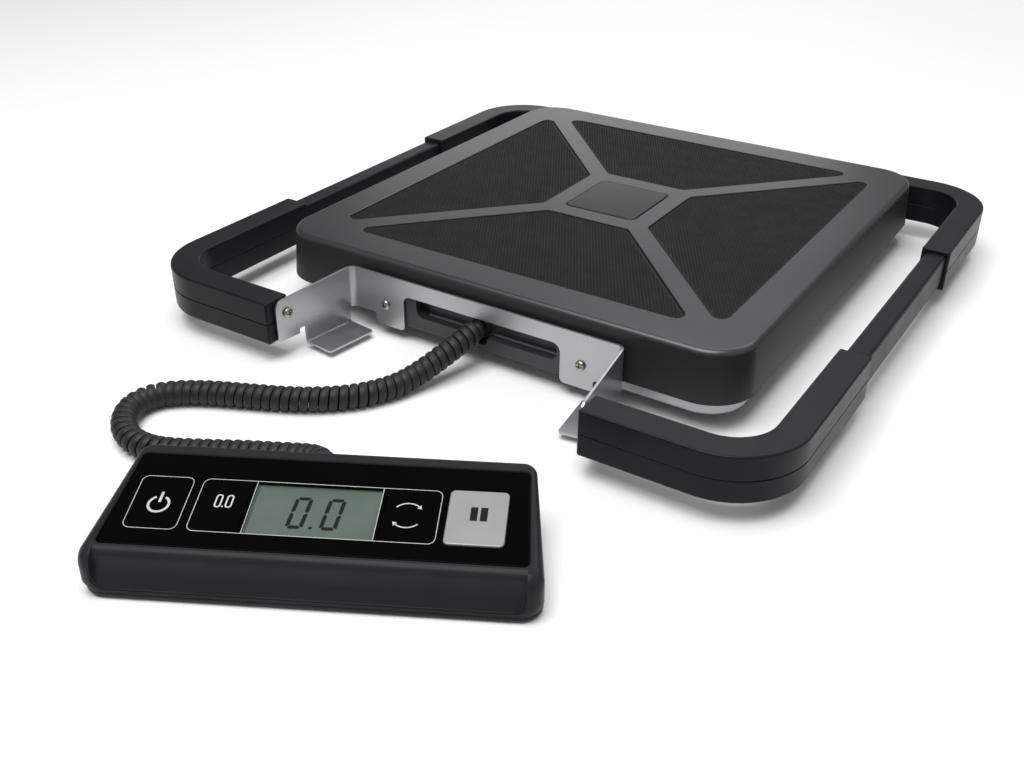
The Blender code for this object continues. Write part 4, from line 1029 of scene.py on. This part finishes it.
def housing():
    solid = loft(housing_rings(0.0, UNIT_SPLIT + GAP, 0.0, 3.0, 6.2))
    behind_dish = [(-28.2, -5.0), (40.0, -5.0), (40.0, 40.0), (-25.2, 40.0), (-25.6, 11.0), (-28.2, 5.0)]
    room = loft(housing_rings(2.2, 0.0, 3.6, 1.0, 1.0))
    room = carve(room, prism(behind_dish, -99.0, 99.0, "x"), operation="INTERSECT")
    posts = []
    bores = []
    for sx in (-1, 1):
        for x, y in BOSSES:
            post_top = 20.0 if y < 0 else 27.7
            post = turned([(BOSS_RADIUS, UNIT_SPLIT + GAP), (BOSS_RADIUS, post_top)], 24)
            posts.append(shifted(post, sx * x, y, 0))
            bores.append(shifted(turned([(BOSS_BORE, 1.0), (BOSS_BORE, 12.0)], 16), sx * x, y, 0))
    dish = [(-36.0, 5.6, 0), (-30.9, 5.6, 0.3), (-27.0, 13.0, 12), (-27.0, 21.87, 5)]
    dish += [(-22.0, 22.745, 0), (-22.0, 30.0, 0), (-36.0, 30.0, 0)]
    dish = dished(fillet(dish, 10), 90.8, 5.6)
    rim = [(-36.0, 5.05), (-31.15, 5.05), (-30.55, 21.0), (-30.55, 30.0), (-36.0, 30.0)]
    rim = dished(rim, 91.35, 5.05)
    seat_steps = ((-GAP, -2.0), (-GAP, -0.1), (-0.9, 0.65), (-0.9, 5.0))
    seat = [at(panel_outline(inset), z) for inset, z in seat_steps]
    to_unit = UNIT.inverted() @ SLOPE
    seat = moved(loft(seat), to_unit)
    opening = moved(prism(panel_outline(3.0), -9.0, 5.0), to_unit)
    relief = moved(turned([(4.5, -8.0), (4.5, 8.0)]), pointing((RELIEF[0], UNIT_BACK, RELIEF[1]), (0, 1, 0)))
    socket = prism(span((48.6, 5.2), (62.4, 17.0), 1.2), 34.0, 42.0, "y")
    shell = carve(solid, room)
    shell = carve(shell, *posts, operation="UNION")
    shell = carve(shell, dish, rim, seat, opening, relief, socket, *bores)
    piece("upper_housing_shell", shell, HOUSING, "display_unit", ["upper_housing"], UNIT)


def bottom_cover():
    plate = rolled(lambda inset: unit_outline(inset, FOOT_CORNER), 1.2, UNIT_SPLIT, 0.9, 0.0, 4)
    middle = (-47.75, 9.5)
    box = block((middle[0] - 26.2, middle[1] - 19.0, 2.0), (middle[0] + 26.2, middle[1] + 19.0, 15.4))
    plate = carve(plate, box, operation="UNION")
    tools = [block((middle[0] - 24.8, middle[1] - 17.6, -1.0), (middle[0] + 24.8, middle[1] + 17.6, 14.0))]
    for sx in (-1, 1):
        for x, y in BOSSES:
            tools.append(shifted(turned([(2.9, 0.0), (2.9, 2.3)], 24), sx * x, y, 0))
            tools.append(shifted(turned([(BOSS_BORE, 0.0), (BOSS_BORE, 5.0)], 16), sx * x, y, 0))
    node = "bottom_cover"
    piece(node + "_shell", carve(plate, *tools), HOUSING, "display_unit", [node], UNIT)


def key_place(name):
    left, right = KEY_SPANS[name]
    row = HOLD_ROW if name == "hold_key" else KEY_ROW
    return (left, row[0]), (right, row[1])


def panel():
    """The glossy fascia with its openings, and the thin silver frames printed round them."""
    plate = rolled(panel_outline, -1.7, 0.0, 0.0, 0.45, 4)
    tools = [prism(span(*key_place(name), 3.0), -5.0, 5.0) for name in KEY_SPANS]
    lcd = ((LCD_SPAN[0], KEY_ROW[0]), (LCD_SPAN[1], KEY_ROW[1]))
    tools.append(prism(span(*lcd), -5.0, 5.0))
    fascia = carve(plate, *tools)
    piece("face_panel_fascia", fascia, GLOSS, "display_unit", ["face_panel"], SLOPE)

    line, clear, low, high = 0.3, 0.08, -0.03, 0.05
    group = ((KEY_SPANS["tare_key"][0], KEY_ROW[0]), (KEY_SPANS["unit_key"][1], KEY_ROW[1]))
    frames = []
    for corners in (key_place("power_key"), group):
        outer, inner = span(*corners, 3.0, -clear - line), span(*corners, 3.0, -clear)
        frames.append(band(outer, inner, low, high))
    for x in (LCD_SPAN[0] - clear - line, LCD_SPAN[1] + clear):
        frames.append(block((x, KEY_ROW[0] - clear, low), (x + line, KEY_ROW[1] + clear, high)))
    piece("panel_frame_lines", together(*frames), PRINT, "display_unit", (), SLOPE)


def stroke(points, width, low, high, closed=False):
    """A flat line of even width along points."""
    points = [Vector(point) for point in points]
    count = len(points)
    left, right = [], []
    for index, here in enumerate(points):
        before = points[index - 1] if closed or index else here
        after = points[(index + 1) % count] if closed or index < count - 1 else here
        along = (after - before).normalized()
        side = Vector((-along.y, along.x)) * width / 2
        left.append(here + side)
        right.append(here - side)
    if closed:
        return band(left, right, low, high)
    return prism(left + right[::-1], low, high)


def arc(middle, radius, start, end, steps=24):
    turns = [math.radians(start + (end - start) * step / steps) for step in range(steps + 1)]
    return [(middle[0] + radius * math.cos(turn), middle[1] + radius * math.sin(turn)) for turn in turns]


def icons():
    """Plain signs on the keys: power, zero, changeover and pause."""
    low, high = 0.08, 0.14
    ring = stroke(arc((-71.0, -3.7), 4.45, 118, 422, 40), 1.15, low, high)
    bar = prism(span((-71.6, -2.6), (-70.4, 3.4), 0.3), low, high)
    icon("power_key", "power_sign", PRINT, ring, bar)
    zeros = []
    for x in (-45.5, -40.7):
        outer = span((x - 1.55, -3.8), (x + 1.55, 3.8), 1.45)
        inner = span((x - 0.85, -3.1), (x + 0.85, 3.1), 0.8)
        zeros.append(band(outer, inner, low, high))
    zeros.append(prism(span((-43.5, -3.55), (-42.75, -2.8), 0.1), low, high))
    icon("tare_key", "zero_sign", PRINT, *zeros)
    middle = (37.2, -2.4)
    signs = [stroke(arc(middle, 6.9, start, start - 92), 0.6, low, high) for start in (140, 318)]
    for turn in (42, 222):
        tip = Vector(arc(middle, 6.9, turn - 8, turn - 8, 1)[0])
        wings = [Vector(arc(middle, radius, turn + 8, turn + 8, 1)[0]) for radius in (5.7, 8.1)]
        signs.append(prism([tip, *wings], low, high))
    icon("unit_key", "changeover_sign", PRINT, *signs)
    bars = [prism(span((x, -3.9), (x + 3.1, 3.8), 0.15), 0.66, 0.76) for x in (64.0, 68.3)]
    icon("hold_key", "pause_sign", PRINT_DARK, *bars)


def icon(key, name, finish, *meshes):
    piece(name, together(*meshes), finish, key + "_body", (), SLOPE)


def keys():
    for name in KEY_SPANS:
        corners = key_place(name)
        hold = name == "hold_key"
        proud, soft = (0.7, 0.65) if hold else (0.1, 0.08)
        mesh = rolled(lambda inset: span(*corners, 2.7, GAP + inset), -KEY_DEPTH, proud, 0.0, soft, 5)
        piece(name + "_cap", mesh, SILVER if hold else GLOSS, name + "_body", [name], SLOPE)


def seven_segment_zero(left, low, high):
    """The six lit bars of a zero, leaning to the right."""
    width, height, bar, slit, lean = 7.7, 18.2, 1.75, 0.26, 0.085
    bottom = -11.5
    x0, x1, y0, y1 = 0.0, width, 0.0, height
    mid = height / 2
    cut = bar * 0.5
    shapes = []
    for y, way in ((y1, -1), (y0, 1)):
        near, far = y + way * cut, y + way * bar
        bars = [(x0 + cut + slit, near), (x0 + bar + slit, far)]
        bars += [(x1 - bar - slit, far), (x1 - cut - slit, near)]
        shapes.append(bars + [(x1 - cut - slit - 0.4, y), (x0 + cut + slit + 0.4, y)])
    for x, way in ((x0, 1), (x1, -1)):
        for a, b in ((y0 + cut, mid), (mid, y1 - cut)):
            outer_a, outer_b = a + slit, b - slit
            corners = [(x, outer_a + 0.3), (x + way * cut, outer_a), (x + way * bar, outer_a + cut)]
            corners += [(x + way * bar, outer_b - cut), (x + way * cut, outer_b), (x, outer_b - 0.3)]
            shapes.append(corners)
    return [prism([(left + x + lean * y, bottom + y) for x, y in shape], low, high) for shape in shapes]


def lcd():
    glass = block((LCD_SPAN[0] - 1.2, KEY_ROW[0] - 1.5, -5.4), (LCD_SPAN[1] + 1.2, 14.4, -2.1))
    bm = bmesh.new()
    bm.from_mesh(glass)
    bmesh.ops.bevel(bm, geom=bm.edges[:], offset=0.25 * MM, segments=2, affect="EDGES")
    piece("lcd_module_glass", mesh_from(bm), LCD, "display_unit", ["lcd_module"], SLOPE)
    digits = seven_segment_zero(-14.4, -2.12, -2.0) + seven_segment_zero(0.2, -2.12, -2.0)
    digits.append(prism(span((-4.0, -11.3), (-2.6, -9.9), 0.1), -2.12, -2.0))
    piece("lcd_digits", together(*digits), SEGMENT, "display_unit", (), SLOPE)
    pane = ((LCD_SPAN[0] + GAP, KEY_ROW[0] + GAP), (LCD_SPAN[1] - GAP, KEY_ROW[1] - GAP))
    window = rolled(lambda inset: span(*pane, 0.6, inset), -1.5, -0.1, 0.0, 0.15, 3)
    piece("lcd_window_pane", window, CLEAR, "display_unit", ["lcd_window"], SLOPE)


def unit_fittings():
    profile = [(5.8, -4.4), (6.0, -4.2), (6.0, -2.6), (4.2, -2.5), (4.2, GAP), (6.0, GAP)]
    for ridge in range(4):
        z = 0.5 + ridge * 1.85
        wide = 6.0 - 0.38 * ridge
        profile += [(wide, z + 0.15), (wide, z + 1.1), (wide - 0.7, z + 1.3), (wide - 0.7, z + 1.65)]
    profile += [(4.1, 7.8)]
    mesh = moved(turned(profile, 36), pointing((RELIEF[0], UNIT_BACK, RELIEF[1]), (0, 1, 0)))
    piece("strain_relief_ribbed", mesh, RUBBER, "display_unit", ["strain_relief"], UNIT)
    shell = carve(
        prism(span((49.5, 5.6), (61.5, 16.6), 1.0), 23.0, 37.6, "y"),
        prism(span((51.2, 7.0), (59.8, 15.2), 0.6), 28.5, 40.0, "y"),
    )
    piece("usb_socket_shell", shell, SOCKET, "display_unit", ["usb_socket"], UNIT)
    for side, sx in SIDES:
        for end, boss, pad in zip(("front", "rear"), BOSSES, PADS):
            place = (sx * boss[0], boss[1], 2.2)
            name = f"unit_screw_{end}_{side}"
            screw(name, place, (0, 0, -1), "display_unit", UNIT, head=2.5, shank=1.2, length=7.0)
            name = f"unit_pad_{end}_{side}"
            mesh = turned([(3.9, 0.0), (4.4, 0.15), (4.6, 0.45), (4.6, 0.9)], 36)
            mesh = shifted(mesh, sx * pad[0], pad[1], 0)
            piece(name + "_turned", mesh, RUBBER, "display_unit", [name], UNIT)


# Studio


def studio():
    bm = bmesh.new()
    bmesh.ops.create_grid(bm, x_segments=2, y_segments=2, size=6.0)
    mesh = mesh_from(bm)
    floor = placed("floor", mesh)
    pale = Finish("pale_floor", 0.6, specular=0.2)
    pale.colour(pale.ramp(pale.noise(900.0), (0.3, (0.87, 0.87, 0.87)), (0.7, (0.89, 0.89, 0.89))))
    mesh.materials.append(pale.material)
    world = bpy.data.worlds.new("studio")
    world.use_nodes = True
    world.node_tree.nodes["Background"].inputs["Color"].default_value = (1.0, 1.0, 1.0, 1.0)
    world.node_tree.nodes["Background"].inputs["Strength"].default_value = 0.27
    bpy.context.scene.world = world
    bpy.context.scene.view_settings.view_transform = "Standard"
    centre = BASE @ Vector((0.0, -0.05, 0.0))
    softbox("key", centre, 92.0, 28.0, 1.6, (1.2, 0.9), 1.9)
    softbox("overhead", centre, -2.0, 72.0, 1.7, (1.3, 1.3), 31.5)
    softbox("back", centre, 208.0, 15.0, 1.9, (1.1, 0.36), 1.9)
    softbox("backdrop", BASE @ Vector((0.0, 2.2, 0.0)), 0.0, 90.0, 2.2, (3.0, 1.6), 34.0)


def softbox(name, centre, azimuth, elevation, distance, size, watts):
    """An area light that faces the object. Azimuth 0 is in front, and 90 to the right."""
    a, e = math.radians(azimuth), math.radians(elevation)
    back = Vector((math.sin(a) * math.cos(e), -math.cos(a) * math.cos(e), math.sin(e)))
    light = bpy.data.lights.new(name, "AREA")
    light.shape = "RECTANGLE"
    light.size, light.size_y = size
    light.energy = watts
    made = placed(name, light)
    aim = (-back).to_track_quat("-Z", "Y").to_matrix().to_4x4()
    made.matrix_world = Matrix.Translation(centre + back * distance) @ aim


camera()
curly_cord()
cover()
mats()
badge()
tray()
feet()
gland()
bracket()
bracket_screws()
grips()
handle_tube()
housing()
bottom_cover()
panel()
keys()
icons()
lcd()
unit_fittings()
dress(STEEL, "platform_frame")
dress(ALUMINIUM, *(f"load_cell_{end}_{side}" for end in ("front", "rear") for side in ("left", "right")))
dress(BOARD, "junction_board", "display_board")
dress(WRAP, "battery_1", "battery_2", "battery_3")
dress(HOUSING, "battery_door")
studio()
